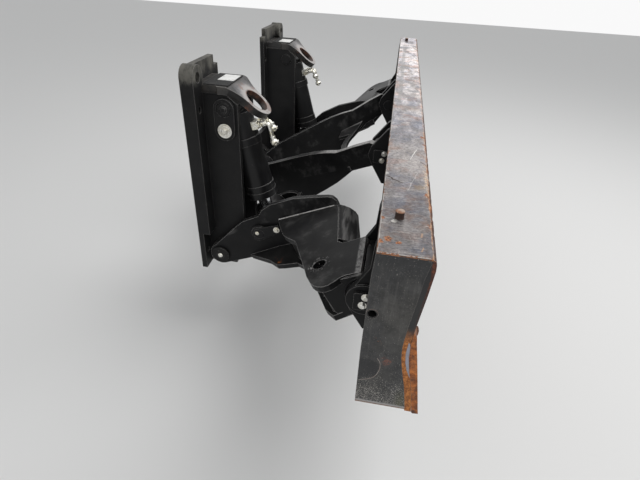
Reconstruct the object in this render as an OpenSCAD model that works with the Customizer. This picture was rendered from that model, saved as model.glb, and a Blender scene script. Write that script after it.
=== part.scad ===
// Dozer blade unit of a wheeled excavator: a blade on two wide lower arms and one upper link,
// lifted by two cylinders that hang in two towers bolted to the end of the chassis.
// Lengths are millimetres. x runs along the blade, -y is the way the blade faces, z is up.
// The origin is the middle of the bolted face against the chassis. Drawn with the blade raised.

/* [Blade] */
// width of the blade over its end plates
blade_w = 2500; // [2300:10:2600]
// height of the blade, top plate to bottom edge
blade_h = 419; // [400:1:440]
// depth of the top plate, front to back
blade_d = 106; // [96:1:120]
// thickness of the curved front plate
mold_t = 15; // [10:1:20]
// thickness of the top plate
top_t = 16; // [12:1:20]
// thickness of an end plate
end_t = 16; // [12:1:20]
// height of the bolted cutting edge
edge_h = 245; // [220:1:245]
// thickness of the cutting edge
edge_t = 18; // [16:1:20]
// number of bolts along the cutting edge
edge_bolts_n = 10; // [6:2:12]
// radius of the small hole in an end plate
end_hole_r = 9.5; // [8:0.5:11]
// height of the two studs on the top plate
stud_h = 20; // [15:1:35]
// radius of a stud
stud_r = 9.5; // [8:0.5:13]

/* [Towers] */
// distance of a tower's middle from the middle of the unit
tower_x = 430; // [420:1:440]
// outside width of a tower over its side plates
tower_w = 170; // [164:1:180]
// thickness of a tower's side plates
side_t = 20; // [15:1:22]
// depth of a tower, mounting face to front edge
tower_d = 165; // [158:1:172]
// lower end of a tower below the origin
tower_low = 350; // [340:1:360]
// thickness of the flange that bolts to the chassis
flange_t = 20; // [15:1:25]
// how far the flange stands out beyond the side plate
flange_out = 60; // [54:1:66]
// thickness of the lug plate on top of a tower
lug_t = 25; // [20:1:28]
// slope of the lug below level, degrees
lug_angle = 40; // [36:1:44]
// radius of the hole in the lug
lug_hole_r = 44; // [38:1:46]
// outer radius of the lug's ring
lug_ring_r = 61; // [58:1:66]

/* [Linkage] */
// length of the arms between their pins
arm_l = 653; // [645:1:660]
// rise of the arms towards the blade in the drawn pose, degrees
arm_rise = 27.35; // [26:0.05:28]
// radius of the lower arms' pins
low_pin_r = 24; // [20:1:26]
// radius of the upper link's pins
up_pin_r = 22; // [18:1:24]
// thickness of the upper link's side plates
link_t = 25; // [20:1:30]
// thickness of the lower arm's top and bottom plates
arm_plate_t = 18; // [14:1:22]

/* [Cylinders] */
// outer radius of a cylinder barrel
barrel_r = 54; // [48:1:55]
// inner radius of a cylinder barrel
bore_r = 42; // [38:1:44]
// radius of a piston rod
rod_r = 25; // [20:1:28]
// radius of the pin at the head of a cylinder
cyl_pin_r = 24; // [20:1:25]
// radius of the pin in the eye of a piston rod
rod_pin_r = 20; // [18:1:22]

/* [Hidden] */
$fn = 64;
run = 0.05;
gap = 0.3;
arm_sin = sin(arm_rise);
arm_cos = cos(arm_rise);
low_y = -80;
low_z = -280;
blade_pin_y = low_y - arm_l * arm_cos;
blade_pin_z = low_z + arm_l * arm_sin;
back_y = blade_pin_y - 10;
top_z = blade_pin_z + 280;
arm_drawn = 653;
turn_u = 310;
arm_k = (arm_l - turn_u) / (arm_drawn - turn_u);
link_y = -70;
link_z = -175;
link_pin_y = link_y - arm_l * arm_cos;
link_pin_z = link_z + arm_l * arm_sin;
tower_in = tower_x - tower_w / 2;
tower_out = tower_x + tower_w / 2;
cheek_out = 545;
cheek_in = 322;
cheek_t = 18;
head_y = -120;
head_z = 284;
rod_u = 203;
rod_v = 39;
rod_y = low_y - rod_u * arm_cos + rod_v * arm_sin;
rod_z = low_z + rod_u * arm_sin + rod_v * arm_cos;
cyl_len = sqrt(pow(rod_y - head_y, 2) + pow(rod_z - head_z, 2));
cyl_lean = atan2(head_y - rod_y, head_z - rod_z);
lug_top = 355;
bend_y = -138;
lug_reach = 88;
flange_top = 415;
bolt_in = 322;
bolt_out = 546;
bolt_z = 280;
bolt_r = 11;
ear_x = 536;
ear_z = 382;
ear_r = 17;
strip_y = -46;
eye_play = 13.6;
eye_r = rod_pin_r + eye_play + 10;

// place along an arm whose outlines were drawn for arm_drawn: beyond turn_u it stretches with the arm's length
function along(u) = u > -turn_u ? u : -turn_u + (u + turn_u) * arm_k;
function in_plan(pts) = [for (p = pts) [p[0], along(p[1])]];
function in_side(pts) = [for (p = pts) [along(p[0]), p[1]]];

// shapes drawn on the right are mirrored for the left
module hand(side) {
  if (side > 0) children();
  else mirror([1, 0, 0]) children();
}

// plate standing in the y-z plane, from x0 to x0 + t
module plate_x(x0, t, pts) {
  translate([x0, 0, 0]) rotate([90, 0, 90]) linear_extrude(height = t) polygon(pts);
}

// round bar along x
module bar_x(x0, x1, y, z, r) {
  translate([x0, y, z]) rotate([0, 90, 0]) cylinder(h = x1 - x0, r = r);
}

// hexagon bolt head on a washer, axis along +x, seated at x = 0
module hex_x(r, h) {
  rotate([0, 90, 0]) cylinder(h = 3, r = r * 1.35);
  translate([2.9, 0, 0]) rotate([0, 90, 0]) cylinder(h = h, r = r, $fn = 6);
}

// moves local arm coordinates (x, -u, v) to the drawn pose of a lower arm
module arm_pose() {
  translate([0, low_y, low_z]) rotate([-arm_rise, 0, 0]) children();
}

// moves local cylinder coordinates, head pin at the origin and rod pin at -z
module cyl_pose() {
  translate([tower_x, head_y, head_z]) rotate([-cyl_lean, 0, 0]) children();
}

module mount_plate() {
  color("dimgray") {
    translate([-tower_in + 45, -flange_t, -290]) cube([2 * tower_in - 90, flange_t, 230]);
    for (side = [-1, 1]) hand(side) difference() {
      union() {
        plate_x(155, 25, [[-flange_t, -245], [-flange_t, -90], [-60, -125], [-60, -225]]);
        bar_x(155, 180, link_y, link_z, 46);
      }
      bar_x(150, 185, link_y, link_z, up_pin_r);
    }
  }
}

// welded box of one tower, open towards the blade
module tower(side) {
  front = -tower_d;
  fold = lug_t * tan(lug_angle / 2);
  outline = [[-flange_t, -tower_low], [-flange_t, lug_top - lug_t], [bend_y + fold, lug_top - lug_t],
             [front, lug_top - lug_t / cos(lug_angle) + (front - bend_y) * tan(lug_angle)], [front, -200],
             [-125, -tower_low]];
  hand(side) difference() {
    union() {
      plate_x(tower_in, side_t, outline);
      plate_x(tower_out - side_t, side_t, outline);
      bar_x(tower_out - 1, cheek_out - gap, low_y, low_z, 46);
      bar_x(cheek_in + gap, tower_in + 1, low_y, low_z, 46);
      bar_x(tower_in + side_t - 1, tower_x - 47, head_y, head_z, 30);
      bar_x(tower_x + 47, tower_out - side_t + 1, head_y, head_z, 30);
    }
    bar_x(cheek_in - 5, cheek_out + 5, low_y, low_z, low_pin_r);
    bar_x(tower_in - 5, tower_out + 5, head_y, head_z, cyl_pin_r);
  }
}
module tower_left() { color("dimgray") tower(-1); }
module tower_right() { color("dimgray") tower(1); }

// flange against the chassis with a thick outer strip that ends in an ear
module flange(side) {
  edge = tower_out + flange_out;
  hand(side) difference() {
    union() {
      translate([tower_in - 45, -flange_t, -tower_low])
        cube([edge - tower_in + 45, flange_t, tower_low + ear_z]);
      translate([tower_in - 10, -flange_t, ear_z - 1])
        cube([ear_x - tower_in + 10, flange_t, flange_top - ear_z + 1]);
      translate([ear_x, 0, ear_z]) rotate([90, 0, 0]) cylinder(h = -strip_y, r = edge - ear_x);
      translate([tower_out, strip_y, -190]) cube([flange_out, -strip_y, ear_z + 190]);
    }
    for (z = [-bolt_z, bolt_z]) translate([bolt_out, 1, z]) rotate([90, 0, 0])
      cylinder(h = 2 - strip_y, r = bolt_r);
    for (z = [-bolt_z, bolt_z]) translate([bolt_in, 1, z]) rotate([90, 0, 0])
      cylinder(h = flange_t + 2, r = bolt_r);
    translate([ear_x, 1, ear_z]) rotate([90, 0, 0]) cylinder(h = 2 - strip_y, r = ear_r);
  }
}
module flange_left() { color("gray") flange(-1); }
module flange_right() { color("gray") flange(1); }

// side view of the lug plate, level part and the part bent down
module lug_side() {
  fold = lug_t * tan(lug_angle / 2);
  far = lug_reach + 90;
  tip_y = bend_y - far * cos(lug_angle);
  tip_z = lug_top - far * sin(lug_angle);
  plate_x(tower_in - 5, tower_w + 10, [[-flange_t, lug_top - lug_t], [-flange_t, lug_top], [bend_y, lug_top],
    [tip_y, tip_z],
    [tip_y + lug_t * sin(lug_angle), tip_z - lug_t * cos(lug_angle)], [bend_y + fold, lug_top - lug_t]]);
}

// half outlines of the neck of the lug: distance from its middle, distance along the slope
lug_neck = [[77, 240], [77, 52], [95, 45], [95, -6], [84, -18], [72, -34], [64, -54], [61, -78]];

// thick plate on the tower, bent down into the tie-down eye
module lug(side) {
  hand(side) difference() {
    intersection() {
      lug_side();
      translate([tower_x, bend_y, lug_top]) rotate([lug_angle, 0, 0]) translate([0, 0, -160])
        linear_extrude(height = 320)
        polygon(concat(lug_neck, [for (a = [0:-7.5:-180]) [lug_ring_r * cos(a), lug_ring_r * sin(a) - lug_reach]],
          [for (i = [len(lug_neck) - 1:-1:0]) [-lug_neck[i][0], lug_neck[i][1]]]));
    }
    translate([tower_x, bend_y, lug_top]) rotate([lug_angle, 0, 0]) translate([0, -lug_reach, -50])
      cylinder(h = 100, r = lug_hole_r);
  }
}
module lug_left() { color("darkgray") lug(-1); }
module lug_right() { color("darkgray") lug(1); }

// black non-slip pad on the level part of the lug plate
module pad_on(side) {
  hand(side) translate([tower_x - 78, bend_y + 4, lug_top]) cube([156, -bend_y - 52, 3]);
}
module pad_left() { color("black") pad_on(-1); }
module pad_right() { color("black") pad_on(1); }

// blank white plate on the pad
module label_on(side) {
  hand(side) translate([tower_x - 62, bend_y + 6, lug_top + 3]) cube([80, 56, 1.5]);
}
module label_left() { color("white") label_on(-1); }
module label_right() { color("white") label_on(1); }

// pin at the head of a cylinder with its keeper plate and bolt
module head_pin(side) {
  hand(side) {
    bar_x(tower_in - 6, tower_out + 14, head_y, head_z, cyl_pin_r - run);
    difference() {
      union() {
        plate_x(tower_out, 12, [[head_y - 35, head_z - 72], [head_y - 35, head_z], [head_y + 35, head_z],
          [head_y + 35, head_z - 72]]);
        bar_x(tower_out, tower_out + 12, head_y, head_z, 35);
        bar_x(tower_out, tower_out + 12, head_y, head_z - 72, 35);
      }
      bar_x(tower_out - 1, tower_out + 13, head_y, head_z, cyl_pin_r);
    }
    bar_x(tower_out + 10, tower_out + 20, head_y, head_z, 9);
    translate([tower_out + 12 - gap, head_y, head_z - 72]) hex_x(16, 10);
    translate([tower_out + 12 - gap, head_y, head_z - 72]) rotate([0, 90, 0]) cylinder(h = 5, r = 25);
  }
}
module head_pin_left() { color("silver") head_pin(-1); }
module head_pin_right() { color("silver") head_pin(1); }

// pin of a lower arm in its tower
module low_pin(side) {
  hand(side) {
    bar_x(cheek_in - cheek_t - 4, cheek_out + cheek_t + 4, low_y, low_z, low_pin_r - run);
    bar_x(cheek_out + cheek_t + 3, cheek_out + cheek_t + 12, low_y, low_z, low_pin_r + 10);
  }
}
module low_pin_left() { color("silver") low_pin(-1); }
module low_pin_right() { color("silver") low_pin(1); }

// pin of the upper link in the mount plate
module link_pin() {
  color("silver") bar_x(-190, 190, link_y, link_z, up_pin_r - run);
}

// upper link: two deep plates that spread towards the blade, joined by a tube and a web
module upper_link() {
  color("dimgray") translate([0, link_y, link_z]) rotate([-arm_rise, 0, 0]) {
    difference() {
      union() {
        bar_x(-150, 150, 0, 0, 44);
        for (side = [-1, 1]) hand(side) {
          bar_x(332 - 32, 332 + 32, -arm_l, 0, 42);
          link_side();
        }
        link_web();
      }
      bar_x(-160, 160, 0, 0, up_pin_r);
      for (side = [-1, 1]) hand(side) bar_x(332 - 40, 332 + 40, -arm_l, 0, up_pin_r);
    }
  }
}

// one side plate of the upper link, drawn flat and turned into its spread
module link_side() {
  spread = atan2(232, arm_l - 40);
  translate([100, 0, 0]) rotate([0, 0, spread]) translate([-link_t / 2, 0, 0]) rotate([90, 0, 90])
    linear_extrude(height = link_t)
      polygon(in_side([[-30, -44], [-115, -106], [-245, -130], [-315, -128], [-390, -107], [-462, -84],
        [-518, -61], [-556, -44], [-620, -40], [-700, -38], [-700, 36], [-676, 52], [-605, 50], [-560, 46],
        [-516, 43], [-465, 53], [-406, 60], [-340, 62], [-110, 60], [-30, 44]]));
}

// cross strip with gussets between the side plates
module link_web() {
  half = in_plan([[0, -432], [50, -437], [92, -447], [122, -462], [134, -446], [140, -420], [150, -396],
    [246, -400], [310, -512], [200, -496], [120, -478], [55, -461], [0, -456]]);
  translate([0, 0, -39]) linear_extrude(height = 14)
    polygon(concat([for (p = half) p], [for (i = [len(half) - 2:-1:1]) [-half[i][0], half[i][1]]]));
}

// plan outlines of a lower arm's top and bottom plates: x, -u
arm_outline = [[553, -300], [600, -538], [625, -547], [850, -579], [868, -597], [868, -668], [1031, -668],
  [1029, -626], [1034, -611], [1045, -598], [1053, -584], [1055, -568], [1050, -553], [1040, -540],
  [1026, -528], [991, -509], [940, -489], [871, -460], [800, -432], [778, -422], [760, -407], [742, -388],
  [720, -368], [700, -355], [640, -326], [590, -306], [575, -300]];
arm_bottom = [[553, -110], [553, -240], [592, -500], [628, -530], [852, -600], [1029, -600], [1040, -548],
  [1006, -519],
              [905, -472], [772, -412], [722, -361], [706, -298], [697, -273], [651, -230], [563, -115]];

// plan outlines of the webs between the plates, along the outer edge and along the front edge
arm_side_web = [[566, -312], [588, -316], [636, -336], [695, -364], [714, -377], [735, -396], [752, -414],
  [780, -447], [1022, -546], [1022, -562], [771, -459], [740, -424], [724, -408], [704, -390], [686, -376],
  [628, -350], [566, -328]];
arm_front_web = [[604, -512], [852, -560], [874, -574], [874, -592], [846, -575], [602, -528]];

// section of the lip that is bent down along the front edge of the top plate
arm_lip = [[3, 64], [-9, 63], [-23, 52], [-38, 36], [-49, 16], [-52, -2], [-43, -2], [-40, 13], [-29, 31],
  [-16, 43], [-5, 50], [3, 51]];

// plan and side view of the outer cheek, which runs on as a wall beside the top plate
cheek_plan = [[cheek_out, 60], [cheek_out, -238], [590, -560], [608, -560], [cheek_out + cheek_t, -241],
  [cheek_out + cheek_t, 60]];
cheek_side = [[0, 44], [-120, 88], [-160, 100], [-230, 100], [-252, 118], [-295, 130], [-395, 130],
  [-475, 114], [-520, 103],
              [-535, 96], [-544, 80], [-544, -52], [-140, -57], [0, -44]];

// one lower arm: box with wide top and bottom plates, cheeks around the tower and a long pivot tube
module lower_arm(side) {
  hand(side) arm_pose() difference() {
    union() {
      translate([0, 0, 66 - arm_plate_t]) linear_extrude(height = arm_plate_t) polygon(in_plan(arm_outline));
      translate([0, 0, -60]) linear_extrude(height = arm_plate_t) polygon(in_plan(arm_bottom));
      translate([0, 0, -55]) linear_extrude(height = 112) polygon(in_plan(arm_side_web));
      translate([0, 0, -54]) linear_extrude(height = 110) polygon(in_plan(arm_front_web));
      translate([602, along(-537.5), 0]) rotate([0, 0, -8.3]) plate_x(0, 234, arm_lip);
      intersection() {
        translate([0, 0, -200]) linear_extrude(height = 400) polygon(in_plan(cheek_plan));
        plate_x(500, 200, in_side(cheek_side));
      }
      bar_x(cheek_out, cheek_out + cheek_t, 0, 0, 44);
      plate_x(cheek_in - cheek_t, cheek_t, [[0, 44], [-120, 54], [-160, 62], [-270, 62], [-300, 50],
        [-318, 22], [-326, -58], [-140, -58], [0, -44]]);
      bar_x(cheek_in - cheek_t, cheek_in, 0, 0, 44);
      bar_x(867, 1033, -arm_l, 0, 50);
      arm_nose(866);
      arm_nose(1014);
      translate([cheek_in - cheek_t + 4, -320, -50]) cube([cheek_out - cheek_in + cheek_t, 16, 90]);
      translate([cheek_in - cheek_t + 4, -310, -50]) cube([cheek_out - cheek_in + cheek_t, 170, 14]);
      bar_x(cheek_in - 1, tower_x - 48, -rod_u, rod_v, 38);
      bar_x(tower_x + 48, cheek_out + 1, -rod_u, rod_v, 38);
    }
    bar_x(cheek_in - 40, cheek_out + 40, 0, 0, low_pin_r);
    bar_x(cheek_in - 40, cheek_out + 40, -rod_u, rod_v, rod_pin_r);
    bar_x(860, 1040, -arm_l, 0, low_pin_r);
    translate([947, along(-538), 40]) cylinder(h = 40, r = 20);
  }
}
module lower_arm_left() { color("dimgray") lower_arm(-1); }
module lower_arm_right() { color("dimgray") lower_arm(1); }

// end plate around the pivot tube at the blade
module arm_nose(x0) {
  plate_x(x0, 20, in_side([[-548, 60], [-668, 60], [-680, 30], [-arm_drawn, -46], [-620, -57], [-580, -56],
    [-562, -48], [-555, -32]]));
  bar_x(x0, x0 + 20, -arm_l, 0, 50);
}

// pin that holds a rod's eye between the cheeks of a lower arm, with its keeper plate
module rod_pin(side) {
  seat = cheek_out + cheek_t + 9;
  hand(side) arm_pose() {
    bar_x(cheek_in - cheek_t - 4, seat + 10, -rod_u, rod_v, rod_pin_r - run);
    bar_x(cheek_out + cheek_t + gap, seat + 1, -rod_u, rod_v, 32);
    plate_x(seat, 8, [[-rod_u - 88, rod_v - 20], [-rod_u + 26, rod_v - 26], [-rod_u + 26, rod_v + 26],
      [-rod_u - 88, rod_v + 10]]);
    translate([seat + 7, -rod_u - 72, rod_v - 6]) hex_x(12, 9);
  }
}
module rod_pin_left() { color("silver") rod_pin(-1); }
module rod_pin_right() { color("silver") rod_pin(1); }

// barrel with its head eye, closed at the top and open for the rod
module barrel(side) {
  hand(side) cyl_pose() difference() {
    union() {
      bar_x(-46, 46, 0, 0, 40);
      translate([0, 0, -335]) cylinder(h = 300, r = barrel_r);
      translate([0, 0, -150]) cylinder(h = 26, r = barrel_r + 5);
      translate([0, 0, -335]) cylinder(h = 26, r = barrel_r + 2);
    }
    bar_x(-50, 50, 0, 0, cyl_pin_r);
    translate([0, 0, -336]) cylinder(h = 276, r = bore_r);
  }
}
module barrel_left() { color("dimgray") barrel(-1); }
module barrel_right() { color("dimgray") barrel(1); }

// screwed ring that guides the rod
module gland(side) {
  hand(side) cyl_pose() translate([0, 0, -360]) difference() {
    union() {
      cylinder(h = 25, r = barrel_r + 4);
      translate([0, 0, 24]) cylinder(h = 36, r = bore_r - run);
    }
    translate([0, 0, -1]) cylinder(h = 70, r = rod_r + run);
  }
}
module gland_left() { color("gray") gland(-1); }
module gland_right() { color("gray") gland(1); }

// zinc plated hose fittings on the blade side of a barrel
module fittings(side) {
  hand(side) cyl_pose() {
    difference() {
      translate([-26, -barrel_r - 24, -104]) cube([52, 40, 42]);
      translate([0, 0, -120]) cylinder(h = 80, r = barrel_r);
    }
    for (p = [[-14, -118, 0], [14, -160, 0]]) translate([p[0], 0, 0]) {
      translate([0, -barrel_r - 54, p[1] - 2]) cylinder(h = -84 - p[1], r = 8);
      translate([0, -barrel_r - 54, -94]) rotate([-90, 0, 0]) cylinder(h = 32, r = 7);
      translate([0, -barrel_r - 56, p[1]]) sphere(r = 14);
    }
  }
}
module fittings_left() { color("silver") fittings(-1); }
module fittings_right() { color("silver") fittings(1); }

// piston rod with its eye and piston. The eye has play on its pin, for this pivot is the open one of the linkage
module rod(side) {
  hand(side) cyl_pose() difference() {
    union() {
      translate([0, 0, -cyl_len]) cylinder(h = cyl_len - 90, r = rod_r);
      translate([0, 0, -116]) cylinder(h = 40, r = bore_r - run);
      bar_x(-46, 46, 0, -cyl_len, eye_r);
    }
    bar_x(-50, 50, 0, -cyl_len, rod_pin_r + eye_play);
  }
}
module rod_left() { color("lightgray") rod(-1); }
module rod_right() { color("lightgray") rod(1); }

// front line of the blade: share of the depth, share of the height, share of the wear plate's thickness
front_line = [[1.009, 0.062, 0], [0.986, 0.15, 0], [0.967, 0.215, 0], [0.925, 0.332, 0], [0.894, 0.425, 0.4],
  [0.877, 0.513, 0.72],
              [0.896, 0.597, 1], [0.962, 0.69, 1], [1.066, 0.802, 0.86], [1.142, 0.907, 0.83],
              [1.198, 1, 0.83]];

// point of the front line, moved back by a distance
function front_at(i, back) = [back_y - front_line[i][0] * blade_d + back, top_z - front_line[i][1] * blade_h];

// one bent sheet: top plate, rounded corner and curved front, stiffened behind
module blade_shell() {
  half = blade_w / 2;
  last = len(front_line) - 1;
  front = back_y - blade_d;
  color("dimgray") {
    plate_x(-half, blade_w, concat([[back_y, top_z - top_t], [back_y, top_z], [front + 13, top_z],
      [front + 8, top_z - 1],
      [front + 3, top_z - 4], [front + 0.5, top_z - 8], [front - 0.5, top_z - 13]],
      [for (i = [0:last]) front_at(i, 0)], [for (i = [last:-1:0]) front_at(i, mold_t)],
      [[front + mold_t + 7, top_z - top_t]]));
    plate_x(-half + end_t + gap, blade_w - 2 * end_t - 2 * gap, [[back_y, top_z - top_t + 1],
      [back_y, top_z - 55], [back_y - 12, top_z - 55],
      [back_y - 12, top_z - top_t + 1]]);
    plate_x(-half + end_t + gap, blade_w - 2 * end_t - 2 * gap, [[back_y - 1.1 * blade_d + 6.6, top_z - blade_h + 22],
      [back_y - 20, top_z - blade_h + 22], [back_y - 20, top_z - blade_h + 36],
      [back_y - 1.1 * blade_d + 8.6, top_z - blade_h + 36]]);
  }
}

// plate closing one end of the blade, let in behind the bent sheet
module end_plate(side) {
  half = blade_w / 2;
  last = len(front_line) - 1;
  hand(side) difference() {
    plate_x(half - end_t, end_t, concat([[back_y, top_z - top_t - gap],
      [back_y - blade_d + mold_t + 7, top_z - top_t - gap]],
      [for (i = [0:last - 1]) front_at(i, mold_t + gap)],
      [[back_y - 1.19 * blade_d + mold_t + gap, top_z - blade_h + 5], [back_y, top_z - blade_h + 4],
      [back_y + 3.5, top_z - 256], [back_y + 3.5, top_z - 64]]));
    bar_x(half - end_t - 1, half + 1, back_y - 9, top_z - 145, end_hole_r);
  }
}
module end_plate_left() { color("dimgray") end_plate(-1); }
module end_plate_right() { color("dimgray") end_plate(1); }

// bolted wear plate in front of the lower half of the blade
module cutting_edge() {
  half = blade_w / 2;
  last = len(front_line) - 1;
  top = blade_h + 4 - edge_h;
  slip = (top / blade_h - front_line[4][1]) / (front_line[5][1] - front_line[4][1]);
  top_d = (front_line[4][0] + slip * (front_line[5][0] - front_line[4][0])) * blade_d;
  color("sienna") plate_x(-half, blade_w, concat([[back_y - top_d - gap, top_z - top],
    [back_y - top_d - 0.42 * edge_t, top_z - top - 13]],
    [for (i = [5:last]) front_at(i, -front_line[i][2] * edge_t)],
    [[back_y - 1.35 * blade_d, top_z - blade_h - 4], [back_y - 1.235 * blade_d, top_z - blade_h - 5]],
    [for (i = [last:-1:5]) front_at(i, -gap)]));
}

// heads of the bolts that hold the wear plate
module edge_bolts() {
  step = (blade_w - 200) / (edge_bolts_n - 1);
  color("gray") for (i = [0:edge_bolts_n - 1])
    translate([-blade_w / 2 + 100 + i * step, back_y - 0.93 * blade_d - edge_t - 0.6, top_z - 0.643 * blade_h])
    rotate([80, 0, 0]) cylinder(h = 8, r = 16);
}

// two short studs on the top plate
module top_studs() {
  color("sienna") for (x = [-1, 1]) translate([x * (blade_w / 2 - 123), back_y - 39, top_z])
    cylinder(h = stud_h, r = stud_r);
}

// clevis on the blade for a lower arm
module low_bracket(side) {
  pts = concat([[back_y - 12, top_z - 0.15 * blade_h], [back_y + 2, top_z - 122], [back_y + 5, top_z - 184],
    [back_y + 46, blade_pin_z + 20],
                [back_y + 54, blade_pin_z], [back_y + 46, blade_pin_z - 36],
                [back_y + 5, top_z - 0.907 * blade_h]],
               [for (i = [9:-1:1]) front_at(i, mold_t + gap)]);
  hand(side) difference() {
    union() {
      plate_x(846, 18, pts);
      plate_x(1036, 18, pts);
      bar_x(846, 864, blade_pin_y, blade_pin_z, 46);
      bar_x(1036, 1060, blade_pin_y, blade_pin_z, 46);
    }
    bar_x(840, 1070, blade_pin_y, blade_pin_z, low_pin_r);
  }
}
module low_bracket_left() { color("dimgray") low_bracket(-1); }
module low_bracket_right() { color("dimgray") low_bracket(1); }

// clevis on the blade for the upper link
module up_bracket(side) {
  pts = concat([[back_y - 12, top_z - 0.15 * blade_h], [back_y + 6, top_z - 75], [back_y + 58, link_pin_z + 30],
                [back_y + 66, link_pin_z], [back_y + 46, link_pin_z - 40],
                [back_y + 5, top_z - 0.67 * blade_h]],
               [for (i = [7:-1:1]) front_at(i, mold_t + gap)]);
  hand(side) difference() {
    union() {
      for (x = [282, 366]) plate_x(x, 16, pts);
      for (x = [282, 366]) bar_x(x, x + 16, link_pin_y, link_pin_z, 40);
    }
    bar_x(270, 395, link_pin_y, link_pin_z, up_pin_r);
  }
}
module up_bracket_left() { color("dimgray") up_bracket(-1); }
module up_bracket_right() { color("dimgray") up_bracket(1); }

// pin of a lower arm in the blade
module blade_pin(side) {
  hand(side) {
    bar_x(842, 1064, blade_pin_y, blade_pin_z, low_pin_r - run);
    plate_x(1060, 8, [[blade_pin_y - 26, blade_pin_z - 26], [blade_pin_y + 26, blade_pin_z - 26],
      [blade_pin_y + 26, blade_pin_z + 26], [blade_pin_y - 26, blade_pin_z + 26]]);
    for (z = [-17, 17]) translate([1067, blade_pin_y + 8, blade_pin_z + z]) hex_x(11, 9);
  }
}
module blade_pin_left() { color("silver") blade_pin(-1); }
module blade_pin_right() { color("silver") blade_pin(1); }

// pin of the upper link in the blade
module link_tip_pin(side) {
  hand(side) {
    bar_x(276, 386, link_pin_y, link_pin_z, up_pin_r - run);
    plate_x(382, 8, [[link_pin_y - 26, link_pin_z - 24], [link_pin_y + 26, link_pin_z - 24],
      [link_pin_y + 26, link_pin_z + 24], [link_pin_y - 26, link_pin_z + 24]]);
    for (z = [-15, 15]) translate([389, link_pin_y - 8, link_pin_z + z]) hex_x(9, 8);
  }
}
module link_tip_pin_left() { color("silver") link_tip_pin(-1); }
module link_tip_pin_right() { color("silver") link_tip_pin(1); }

mount_plate();
tower_left();
tower_right();
flange_left();
flange_right();
lug_left();
lug_right();
pad_left();
pad_right();
label_left();
label_right();
head_pin_left();
head_pin_right();
low_pin_left();
low_pin_right();
link_pin();
upper_link();
lower_arm_left();
lower_arm_right();
rod_pin_left();
rod_pin_right();
barrel_left();
barrel_right();
gland_left();
gland_right();
fittings_left();
fittings_right();
rod_left();
rod_right();
blade_shell();
end_plate_left();
end_plate_right();
cutting_edge();
edge_bolts();
top_studs();
low_bracket_left();
low_bracket_right();
up_bracket_left();
up_bracket_right();
blade_pin_left();
blade_pin_right();
link_tip_pin_left();
link_tip_pin_right();
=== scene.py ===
# %% [markdown]
# The dozer blade of a wheeled excavator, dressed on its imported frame. Every length here is in metres.
# x runs along the blade, -y is the way the blade faces and z is up, as in the frame. The towers bolt to
# the chassis at y = 0. Left is -x, the side that the camera stands on.

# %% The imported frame
import math
import bmesh
import bpy
from mathutils import Matrix, Vector, noise


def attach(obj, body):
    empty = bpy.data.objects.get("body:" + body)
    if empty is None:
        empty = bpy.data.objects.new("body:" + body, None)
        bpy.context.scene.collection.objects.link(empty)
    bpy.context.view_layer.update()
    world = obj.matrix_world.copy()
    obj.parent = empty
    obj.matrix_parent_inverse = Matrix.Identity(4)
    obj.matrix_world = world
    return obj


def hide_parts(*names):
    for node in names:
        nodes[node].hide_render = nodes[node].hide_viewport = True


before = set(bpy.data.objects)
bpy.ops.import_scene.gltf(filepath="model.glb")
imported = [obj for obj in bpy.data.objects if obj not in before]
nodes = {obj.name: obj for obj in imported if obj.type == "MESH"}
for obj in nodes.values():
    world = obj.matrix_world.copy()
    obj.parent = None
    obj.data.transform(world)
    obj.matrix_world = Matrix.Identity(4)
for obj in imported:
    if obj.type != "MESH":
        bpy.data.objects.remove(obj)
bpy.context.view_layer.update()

# %% [markdown]
# The blade is seen from beside it, from a little above head height. The camera's place and its turns
# were worked out from the blade's own straight edges, so they are written as real numbers.

# %% Camera
GROUND = -0.685
CAMERA_AT = Vector((-1.869, -0.659, 0.724))
PITCH, ROLL, HEADING = (math.radians(a) for a in (33.6, 3.2, 8.18))
FOCAL_PX, WIDE_PX = 428.5, 640.0

level = Vector((math.cos(HEADING), math.sin(HEADING), 0))
forward = level * math.cos(PITCH) + Vector((0, 0, -math.sin(PITCH)))
side = forward.cross(Vector((0, 0, 1))).normalized()
over = side.cross(forward)
right = side * math.cos(ROLL) + over * math.sin(ROLL)
up = over * math.cos(ROLL) - side * math.sin(ROLL)
camera = bpy.data.objects.new("camera", bpy.data.cameras.new("camera"))
bpy.context.scene.collection.objects.link(camera)
camera.data.sensor_width = 36.0
camera.data.lens = 36.0 * FOCAL_PX / WIDE_PX
camera.data.clip_start, camera.data.clip_end = 0.05, 60
camera.matrix_world = Matrix.Translation(CAMERA_AT) @ Matrix((right, up, -forward)).transposed().to_4x4()
bpy.context.scene.camera = camera
bpy.context.scene.view_settings.view_transform = "Standard"
print("lens %.2f mm" % camera.data.lens)

# %% [markdown]
# A shader is a net of small nodes. Two classes keep the wiring short: a net makes one node for each call
# and joins it to what it is given, and a wire can be added, multiplied and compared like a number.

# %% A short way to wire nodes
def sum_of(operation, turned=False):
    """A method that makes one Math node from a wire and another value, in that order or turned round."""
    def step(self, other=0.0):
        return self.net.math(operation, *((other, self) if turned else (self, other)))
    return step


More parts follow.
